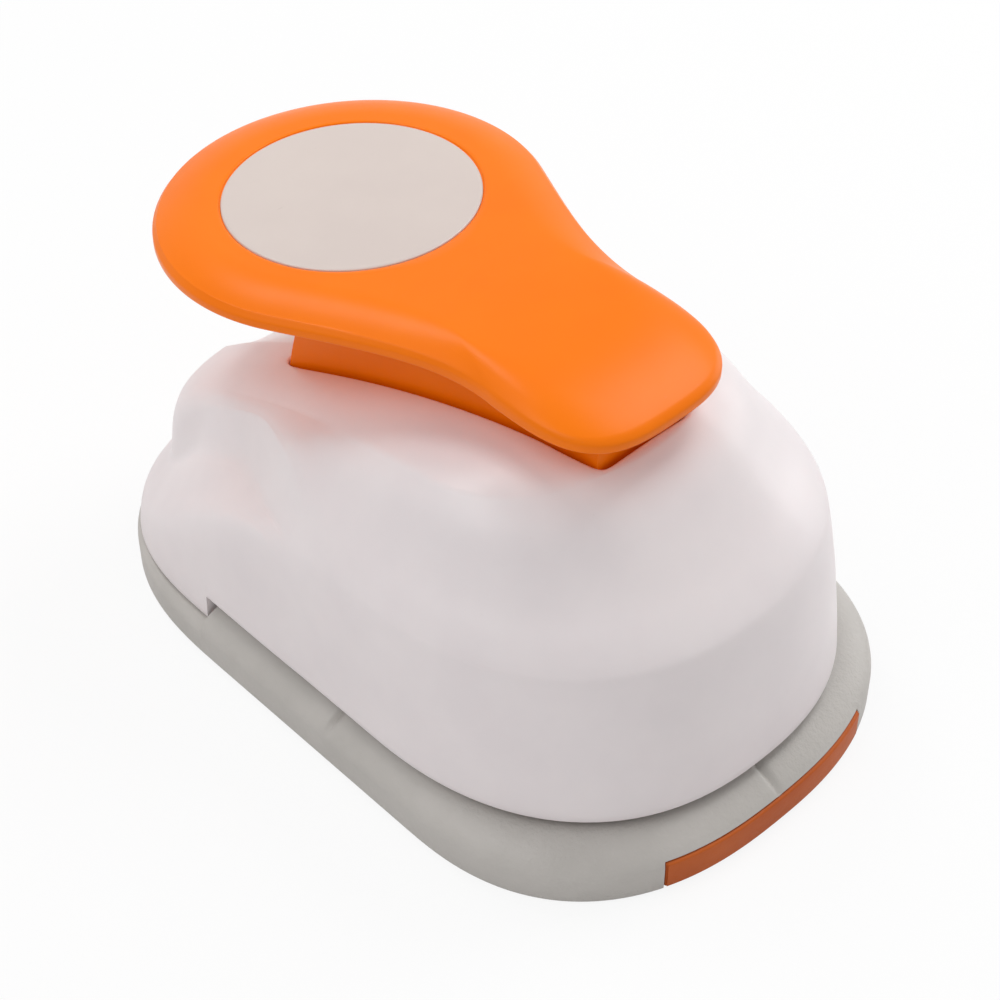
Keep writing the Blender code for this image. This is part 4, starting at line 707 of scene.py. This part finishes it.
# %% Arms, barrel, rib and heel of the lever
SLAB_EDGE, BARREL_SIDES, HEEL_LOW, HEEL_HIGH = 0.3, 48, 16.7, 33.0
ARM_YZ = ((-42.6, 24.8), (-25.6, 43.6), (-25.6, 50.0), (-28.6, 50.0), (-42.6, 29.4))
RIB_YZ = ((-13.5, 41.3), (1.5, 41.3), (1.5, 44.3), (-13.5, 44.3))
BARREL_PROFILE = ((-6.9, 2.3), (-6.9, 4.5), (-6.6, 4.8), (6.6, 4.8), (6.9, 4.5), (6.9, 2.3))
HEEL_WINDOW = ((-3.6, 3.6), (20.0, 35.0), (17.75, 20.45))


def slab(name, outline_yz, x_from, x_to):
    """A plate across X over an outline of (y, z): four rows, the outer two drawn in to soften its edges."""
    ring = np.array(outline_yz)
    spokes = ring - ring.mean(axis=0)
    drawn = ring - SLAB_EDGE * spokes / np.linalg.norm(spokes, axis=1, keepdims=True)
    rows = [np.column_stack([np.full(len(ring), x), yz]) for x, yz in
            ((x_from, drawn), (x_from + SLAB_EDGE, ring), (x_to - SLAB_EDGE, ring), (x_to, drawn))]
    return grid_piece(name, np.array(rows), "lever_arm", caps=True, sharp=40)


lever_pieces += [slab("lever_arm_left", ARM_YZ, -7.6, -5.6), slab("lever_arm_right", ARM_YZ, 5.6, 7.6)]
turn = np.linspace(0, 2 * math.pi, BARREL_SIDES, endpoint=False)
circle_yz = np.column_stack([np.cos(turn), np.sin(turn)])
barrel = np.array([np.column_stack([np.full(BARREL_SIDES, x), [HINGE_Y, HINGE_Z] + radius * circle_yz])
                   for x, radius in BARREL_PROFILE])
lever_pieces += [grid_piece("lever_barrel", barrel, "lever_arm", close_rows=True, sharp=40)]
lever_pieces += [slab("lever_rib", RIB_YZ, -9.5, 9.5)]
heel_z = np.linspace(HEEL_LOW, HEEL_HIGH, 14)
heel_back = np.column_stack([hinge_arc(REACH, heel_z), heel_z])
heel_front = np.column_stack([hinge_arc(REACH - SKIRT_WALL, heel_z), heel_z])
lever_pieces += [slab("lever_heel", np.concatenate([heel_back, heel_front[::-1]]), -6.5, 6.5)]
open_through(lever_pieces[-1], *HEEL_WINDOW)
for piece in lever_pieces:
    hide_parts("lever")

# %% [markdown]
# ## The inlay
# A thin round plate in the pad shows the size of the circle that the tool cuts. It is
# a disc with a small bevel, tilted with the pad, in a seat a quarter millimetre wider. A
# flat top would mirror one tone, so it is crowned a little.

# %% Inlay
INLAY_PROFILE = ((0.2, -1.0), (18.6, -1.0), (19.0, -0.9), (19.0, -0.18), (18.93, -0.07), (18.78, 0.0),
                 (18.4, 0.03), (14.0, 0.045), (9.0, 0.05), (4.0, 0.05), (0.2, 0.05))


def inlay():
    """A profile of radius and height above the paddle's plane, turned about the pad's middle."""
    turn = np.linspace(0, 2 * math.pi, 144, endpoint=False)
    rows = []
    for radius, z in INLAY_PROFILE:
        y = PAD_Y + radius * np.sin(turn)
        rows.append(np.column_stack([radius * np.cos(turn), y, paddle_plane(y) + z]))
    return np.array(rows)


inlay_piece = grid_piece("lever_inlay_disc", inlay(), "lever_arm", caps=True, sharp=40)
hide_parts("lever_inlay")

# %% [markdown]
# ## The return springs
# Two coil springs lift the punch. A wire swept along a helix gives each, and its last
# turn at each end lies flat, as on a ground spring.

# %% Springs
SPRING_X, SPRING_R, WIRE_R, SPRING_TURNS, SPRING_LOW, SPRING_HIGH = 23.7, 3.0, 0.45, 6.5, 14.1, 28.3


def spring(x):
    """A round wire on a helix whose pitch is eased to nearly nothing over the first and last turn."""
    share = np.linspace(0, 1, 300)
    from_ends = ease(share * SPRING_TURNS, 0.0, 1.2) * ease((1 - share) * SPRING_TURNS, 0.0, 1.2)
    climb = np.cumsum(from_ends + 0.12)
    climb = (climb - climb[0]) / (climb[-1] - climb[0])
    z = SPRING_LOW + WIRE_R + climb * (SPRING_HIGH - SPRING_LOW - 2 * WIRE_R)
    angle = 2 * math.pi * SPRING_TURNS * share
    out = np.stack([np.cos(angle), np.sin(angle), np.zeros_like(angle)], axis=-1)
    path = np.column_stack([x + SPRING_R * out[:, 0], DIE_Y + SPRING_R * out[:, 1], z])
    turn = np.linspace(0, 2 * math.pi, 12, endpoint=False)[None, :, None]
    return path[:, None] + WIRE_R * (np.cos(turn) * out[:, None] + np.sin(turn) * np.array([0.0, 0.0, 1.0]))


springs = []
for x, word in ((-SPRING_X, "left"), (SPRING_X, "right")):
    piece = grid_piece("spring_coil_" + word, spring(x), "body", caps=True)
    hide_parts("return_spring_" + word)
    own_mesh(piece)
    springs.append(piece)

# %% [markdown]
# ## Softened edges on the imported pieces
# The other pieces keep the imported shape. Their triangles are welded, and a fine bevel
# takes the knife edge off, because light catches on a real edge.

# %% Bevels
REPLACED = {"upper_housing", "base", "lever", "lever_inlay", "return_spring_left", "return_spring_right"}
MERGE, METAL_BEVEL, GRIP_BEVEL = 0.005, 0.12, 0.35
packed = {name: node for name, node in nodes.items() if name not in REPLACED}
for name, node in packed.items():
    weld = node.modifiers.new("weld", "WELD")
    weld.merge_threshold = MERGE * MM
    bevel = node.modifiers.new("soft edges", "BEVEL")
    bevel.limit_method = "ANGLE"
    bevel.angle_limit = math.radians(40)
    bevel.width = (GRIP_BEVEL if name == "lock_slide" else METAL_BEVEL) * MM
    bevel.segments = 2
print("softened:", len(packed), "packed pieces")

# %% [markdown]
# ## Helpers for finishes
# A finish is a net of nodes, and an input takes a value or another node's output. One
# function fills inputs with either, and short ones add the nodes that are used most.

# %% Node helpers
def feed(tree, node, entries):
    """Fill inputs, by name or number: a socket is linked, three numbers are a colour, one is a value."""
    for label, entry in entries.items():
        socket = node.inputs[label]
        if isinstance(entry, bpy.types.NodeSocket):
            tree.links.new(entry, socket)
        elif socket.type == "RGBA":
            socket.default_value = (*entry, 1.0)
        else:
            socket.default_value = entry


def fed(node, label):
    """The output that is linked to an input now."""
    return node.inputs[label].links[0].from_socket


def add_node(tree, kind, entries, **settings):
    """A shader node with its settings and entries."""
    node = tree.nodes.new("ShaderNode" + kind)
    for label, value in settings.items():
        setattr(node, label, value)
    feed(tree, node, entries)
    return node


def noise(tree, vector, scale, detail, roughness=0.5):
    """The value of a noise texture on a vector."""
    entries = {"Vector": vector, "Scale": scale, "Detail": detail, "Roughness": roughness}
    return add_node(tree, "TexNoise", entries).outputs["Fac"]


def spread(tree, value, low, high, to_low=0.0, to_high=1.0):
    """A Map Range node: the value from low..high to to_low..to_high."""
    entries = {"Value": value, "From Min": low, "From Max": high, "To Min": to_low, "To Max": to_high}
    return add_node(tree, "MapRange", entries).outputs["Result"]


def sums(tree, operation, first, second):
    """A Math node of two entries."""
    return add_node(tree, "Math", {0: first, 1: second}, operation=operation).outputs["Value"]


def blend_colour(tree, share, first, second):
    """A Mix node, first colour to second; its colours are inputs 6 and 7 and output 2."""
    return add_node(tree, "Mix", {0: share, 6: first, 7: second}, data_type="RGBA").outputs[2]


def new_group(name, inputs):
    """A node group that puts out colour, roughness and height; returns it with its inputs."""
    group = bpy.data.node_groups.new(name, "ShaderNodeTree")
    for label, kind, value in inputs:
        socket = group.interface.new_socket(label, in_out="INPUT", socket_type="NodeSocket" + kind)
        if value is not None:
            socket.default_value = value
    for label, kind in (("Colour", "Color"), ("Roughness", "Float"), ("Height", "Float")):
        group.interface.new_socket(label, in_out="OUTPUT", socket_type="NodeSocket" + kind)
    return group, group.nodes.new("NodeGroupInput").outputs


def end_group(group, colour, roughness, height):
    """Link a group's three results to its output node."""
    end = group.nodes.new("NodeGroupOutput")
    feed(group, end, {"Colour": colour, "Roughness": roughness, "Height": height})
    return group


def plain_material(name):
    """A material with its Principled shader and an Object coordinate, ready for nodes."""
    material = bpy.data.materials.new(name)
    material.use_nodes = True
    tree = material.node_tree
    place = tree.nodes.new("ShaderNodeTexCoord").outputs["Object"]
    return material, tree, tree.nodes["Principled BSDF"], place


def finish(name, group, values, strength, depth, own):
    """A material: a group's colour, roughness and height, a bump of a depth in mm, and own values."""
    material, tree, shader, place = plain_material(name)
    part = add_node(tree, "Group", {"Vector": place, **values}, node_tree=group).outputs
    bump = add_node(tree, "Bump", {"Height": part["Height"], "Strength": strength, "Distance": depth * MM})
    feed(tree, shader, {"Base Color": part["Colour"], "Roughness": part["Roughness"],
                        "Normal": bump.outputs["Normal"], **own})
    return material


# %% [markdown]
# ## Moulded plastic
# Moulded plastic is never one flat colour: it has a fine spark-eroded grain, slow
# changes of gloss where the melt cooled, and faint dust. A picture would need seams, so
# one node group of noises gives all three, and each material places it with own values.

# %% Plastics
DUST_COLOUR = (0.42, 0.36, 0.31)


def moulded_group():
    """Grain as height, slow changes of roughness and of tint between two colours, and specks of dust."""
    group, put = new_group("moulded_plastic", (
        ("Vector", "Vector", None), ("Colour", "Color", (0.8, 0.8, 0.8, 1)),
        ("Shade", "Color", (0.7, 0.7, 0.7, 1)), ("Grain Scale", "Float", 2500.0), ("Roughness", "Float", 0.4),
        ("Roughness Change", "Float", 0.08), ("Dust", "Float", 0.1)))
    grain = noise(group, put["Vector"], put["Grain Scale"], 2.0)
    slow = noise(group, put["Vector"], 55.0, 4.0, 0.55)
    specks = noise(group, put["Vector"], 900.0, 3.0, 0.65)
    tinted = blend_colour(group, spread(group, slow, 0.35, 0.65), put["Colour"], put["Shade"])
    dust = sums(group, "MULTIPLY", spread(group, specks, 0.69, 0.76), put["Dust"])
    change = sums(group, "MULTIPLY", sums(group, "SUBTRACT", slow, 0.5), put["Roughness Change"])
    fine = sums(group, "MULTIPLY", sums(group, "SUBTRACT", grain, 0.5), 0.10)
    rough = sums(group, "ADD", sums(group, "ADD", put["Roughness"], change), fine)
    return end_group(group, blend_colour(group, dust, tinted, DUST_COLOUR), rough, grain)


moulded = moulded_group()


def plastic(name, colour, shade, roughness, grain_scale, grain_depth, dust, change=0.08, own={}):
    """A moulded plastic: two colours, roughness, grain, its depth in mm, dust, and own values."""
    values = {"Colour": colour, "Shade": shade, "Grain Scale": grain_scale, "Roughness": roughness,
              "Roughness Change": change, "Dust": dust}
    material = finish(name, moulded, values, 0.6, grain_depth, own)
    material.diffuse_color = (*colour, 1)
    return material


MILKY = {"Subsurface Weight": 0.06, "Subsurface Radius": (0.004, 0.003, 0.003), "Subsurface Scale": 0.5}
white = plastic("white_plastic_look", (0.86, 0.795, 0.80), (0.82, 0.755, 0.765), 0.38, 2600.0, 0.012, 0.05,
                own=MILKY)
orange = plastic("orange_plastic_look", (1.0, 0.205, 0.0), (0.97, 0.19, 0.0), 0.33, 2600.0, 0.012, 0.04,
                 own={"Specular IOR Level": 0.17})
grey = plastic("grey_plastic_look", (0.56, 0.53, 0.50), (0.50, 0.475, 0.445), 0.44, 1100.0, 0.10, 0.12, 0.14)
terracotta = plastic("terracotta_plastic_look", (0.56, 0.12, 0.018), (0.50, 0.10, 0.014), 0.44, 1800.0, 0.03,
                     0.1, own={"Specular IOR Level": 0.2})
nylon = plastic("nylon_look", (0.70, 0.69, 0.66), (0.64, 0.63, 0.59), 0.46, 1500.0, 0.02, 0.05)
print("moulded plastics:", moulded.users)

# %% [markdown]
# ### The etched front of the base
# The ledge in front of the housing is etched more coarsely, so that paper slides on it,
# and it sparkles a little. A second noise, whose share grows towards the front, is added
# to the bump's height.

# %% Etched ledge
ETCH_START, ETCH_FULL, ETCH_SHARE = -18.0, -42.0, 1.6


def etch_front(material):
    """Coarse noise times a share that grows towards the front, added to the bump's height."""
    tree = material.node_tree
    place, bump = tree.nodes["Texture Coordinate"].outputs["Object"], tree.nodes["Bump"]
    y = add_node(tree, "SeparateXYZ", {"Vector": place}).outputs["Y"]
    share = spread(tree, y, ETCH_START * MM, ETCH_FULL * MM, 0.0, ETCH_SHARE)
    etched = sums(tree, "MULTIPLY", noise(tree, place, 1500.0, 2.0, 0.7), share)
    feed(tree, bump, {"Height": sums(tree, "ADD", fed(bump, "Height"), etched)})


etch_front(grey)

# %% [markdown]
# ## Metals
# The die, the punch, the screws and the pins are steel with fine grinding lines, and the
# guide frame is die-cast zinc. One group gives the lines and the tarnish, and the
# direction of the lines is a stretch of the coordinates.

# %% Metal looks
def metal_group():
    """Fine lines along one way as height and roughness, and slow tarnish between two colours."""
    group, put = new_group("worked_metal", (
        ("Vector", "Vector", None), ("Colour", "Color", (0.6, 0.6, 0.6, 1)),
        ("Tarnish", "Color", (0.4, 0.38, 0.36, 1)), ("Stretch", "Vector", (1, 1, 30)),
        ("Roughness", "Float", 0.3)))
    stretched = add_node(group, "VectorMath", {0: put["Vector"], 1: put["Stretch"]}, operation="MULTIPLY")
    lines = noise(group, stretched.outputs["Vector"], 400.0, 4.0, 0.6)
    tarnish = spread(group, noise(group, put["Vector"], 120.0, 4.0, 0.6), 0.45, 0.75)
    change = sums(group, "MULTIPLY", sums(group, "SUBTRACT", lines, 0.5), 0.25)
    rough = sums(group, "ADD", put["Roughness"], change)
    return end_group(group, blend_colour(group, tarnish, put["Colour"], put["Tarnish"]), rough, lines)


worked = metal_group()


def metal(name, colour, tarnish, roughness, stretch, depth):
    """A metal with the group's lines and tarnish; the depth of its lines is in mm."""
    values = {"Colour": colour, "Tarnish": tarnish, "Stretch": stretch, "Roughness": roughness}
    material = finish(name, worked, values, 0.5, depth, {"Metallic": 1.0})
    material.diffuse_color = (*colour, 1)
    return material


ground_steel = metal("ground_steel_look", (0.62, 0.62, 0.63), (0.50, 0.49, 0.48), 0.28, (1, 1, 25), 0.006)
turned_steel = metal("turned_steel_look", (0.58, 0.58, 0.60), (0.42, 0.41, 0.41), 0.32, (4, 4, 40), 0.006)
spring_steel = metal("spring_steel_look", (0.50, 0.51, 0.53), (0.38, 0.38, 0.40), 0.26, (8, 8, 8), 0.004)
zinc = metal("cast_zinc_look", (0.46, 0.46, 0.48), (0.38, 0.38, 0.39), 0.46, (1, 1, 1), 0.04)
print("metals:", worked.users)

# %% [markdown]
# ## The inlay's film
# The inlay is warm grey with a satin film and a few tiny scuffs. Stretched noise darkens
# the colour along short marks and makes them rougher.

# %% Film look
FILM = {"Colour": (0.665, 0.575, 0.53), "Shade": (0.64, 0.55, 0.51), "Grain Scale": 1800.0,
        "Roughness": 0.34, "Dust": 0.10}
SCUFF_COLOUR, SCUFF_TURN, SCUFF_STRETCH = (0.50, 0.42, 0.38), math.radians(35), (1.0, 6.0, 1.0)
film = finish("inlay_film_look", moulded, FILM, 0.4, 0.01, {})
tree = film.node_tree
place, shader = tree.nodes["Texture Coordinate"].outputs["Object"], tree.nodes["Principled BSDF"]
turned = add_node(tree, "Mapping", {"Vector": place, "Rotation": (0, 0, SCUFF_TURN), "Scale": SCUFF_STRETCH})
scuff = spread(tree, noise(tree, turned.outputs["Vector"], 130.0, 5.0, 0.6), 0.70, 0.80, 0.0, 0.5)
rougher = sums(tree, "MULTIPLY", scuff, 0.3)
feed(tree, shader, {"Base Color": blend_colour(tree, scuff, fed(shader, "Base Color"), SCUFF_COLOUR),
                    "Roughness": sums(tree, "ADD", fed(shader, "Roughness"), rougher)})

# %% [markdown]
# ## Dressing the pieces
# Each piece gets the material it is made of on the real object. New pieces have no slot
# yet, and the slots of packed ones are filled, so that their meshes stay as they are.

# %% Dress every piece
def dress(material, *pieces):
    """One material on each piece, in a new slot where it has none."""
    for piece in pieces:
        if len(piece.material_slots) == 0:
            piece.data.materials.append(material)
        for entry in piece.material_slots:
            entry.material = material


PACKED_LOOKS = {"lock_slide": terracotta, "bottom_cover": grey, "guide_frame": zinc, "presser": nylon,
                "die_plate": ground_steel, "punch": ground_steel}
dress(white, housing)
dress(grey, base)
dress(terracotta, grip)
dress(orange, *lever_pieces)
dress(film, inlay_piece)
dress(spring_steel, *springs)
for name, node in packed.items():
    dress(PACKED_LOOKS.get(name, turned_steel), node)

# %% [markdown]
# ## Floor, light and background
# The photograph is a packshot on white with soft light from above. A pale floor takes the
# shadow and glows to the camera only, so that it looks white without more light on the
# object. The world is white to the camera and in reflections, and dimmer as light.

# %% Stage
FLOOR, FLOOR_DROP, FLOOR_GLOW, WORLD_LIGHT = 6.0, 0.2, 0.88, 0.46
floor_mesh = bpy.data.meshes.new("floor")
floor_mesh.from_pydata([(-FLOOR, -FLOOR, 0), (FLOOR, -FLOOR, 0), (FLOOR, FLOOR, 0), (-FLOOR, FLOOR, 0)],
                       [], [(0, 1, 2, 3)])
floor = add_object("floor", floor_mesh)
floor.location.z = -FLOOR_DROP * MM
floor_look, tree, shader, place = plain_material("floor_look")
feed(tree, shader, {"Base Color": (0.90, 0.90, 0.90), "Roughness": 0.9, "Specular IOR Level": 0.1})
glow = add_node(tree, "Emission", {"Strength": 1.0}).outputs["Emission"]
rays = add_node(tree, "LightPath", {}).outputs
seen = sums(tree, "MULTIPLY", rays["Is Camera Ray"], FLOOR_GLOW)
mixed = add_node(tree, "MixShader", {"Fac": seen, 1: shader.outputs["BSDF"], 2: glow})
feed(tree, tree.nodes["Material Output"], {"Surface": mixed.outputs["Shader"]})
dress(floor_look, floor)

world = bpy.data.worlds.new("studio")
bpy.context.scene.world = world
world.use_nodes = True
tree = world.node_tree
rays = add_node(tree, "LightPath", {}).outputs
mirrored = sums(tree, "MAXIMUM", rays["Is Glossy Ray"], rays["Is Transmission Ray"])
clear = sums(tree, "MAXIMUM", rays["Is Camera Ray"], mirrored)
strength = spread(tree, clear, 0.0, 1.0, WORLD_LIGHT)
feed(tree, tree.nodes["Background"], {"Strength": strength, "Color": (1.0, 1.0, 1.0)})

# %% [markdown]
# ### Lamps
# The highlights on the lever and the shade along the dome's crease tell where the light
# came from: two soft lamps on the right, a large one on the left and a small one behind.

# %% Lamps
AIM_HEIGHT = 0.03


def lamp(name, azimuth, elevation, distance, size, energy):
    """A square soft lamp that looks at the punch from an azimuth and elevation in degrees; metres, watts."""
    data = bpy.data.lights.new(name, "AREA")
    data.size, data.energy = size, energy
    light = add_object(name, data)
    a, e = math.radians(azimuth), math.radians(elevation)
    reach = distance * math.cos(e)
    light.location = (reach * math.sin(a), -reach * math.cos(a), AIM_HEIGHT + distance * math.sin(e))
    light.rotation_euler = (math.pi / 2 - e, 0.0, a)


lamp("right", 90, 55, 0.75, 0.28, 1.6)
lamp("low right", 80, 15, 0.75, 0.40, 1.2)
lamp("left", -100, 52, 0.8, 0.50, 1.5)
lamp("rear", 178, 58, 0.8, 0.20, 1.0)

bpy.context.scene.view_settings.view_transform = "Standard"
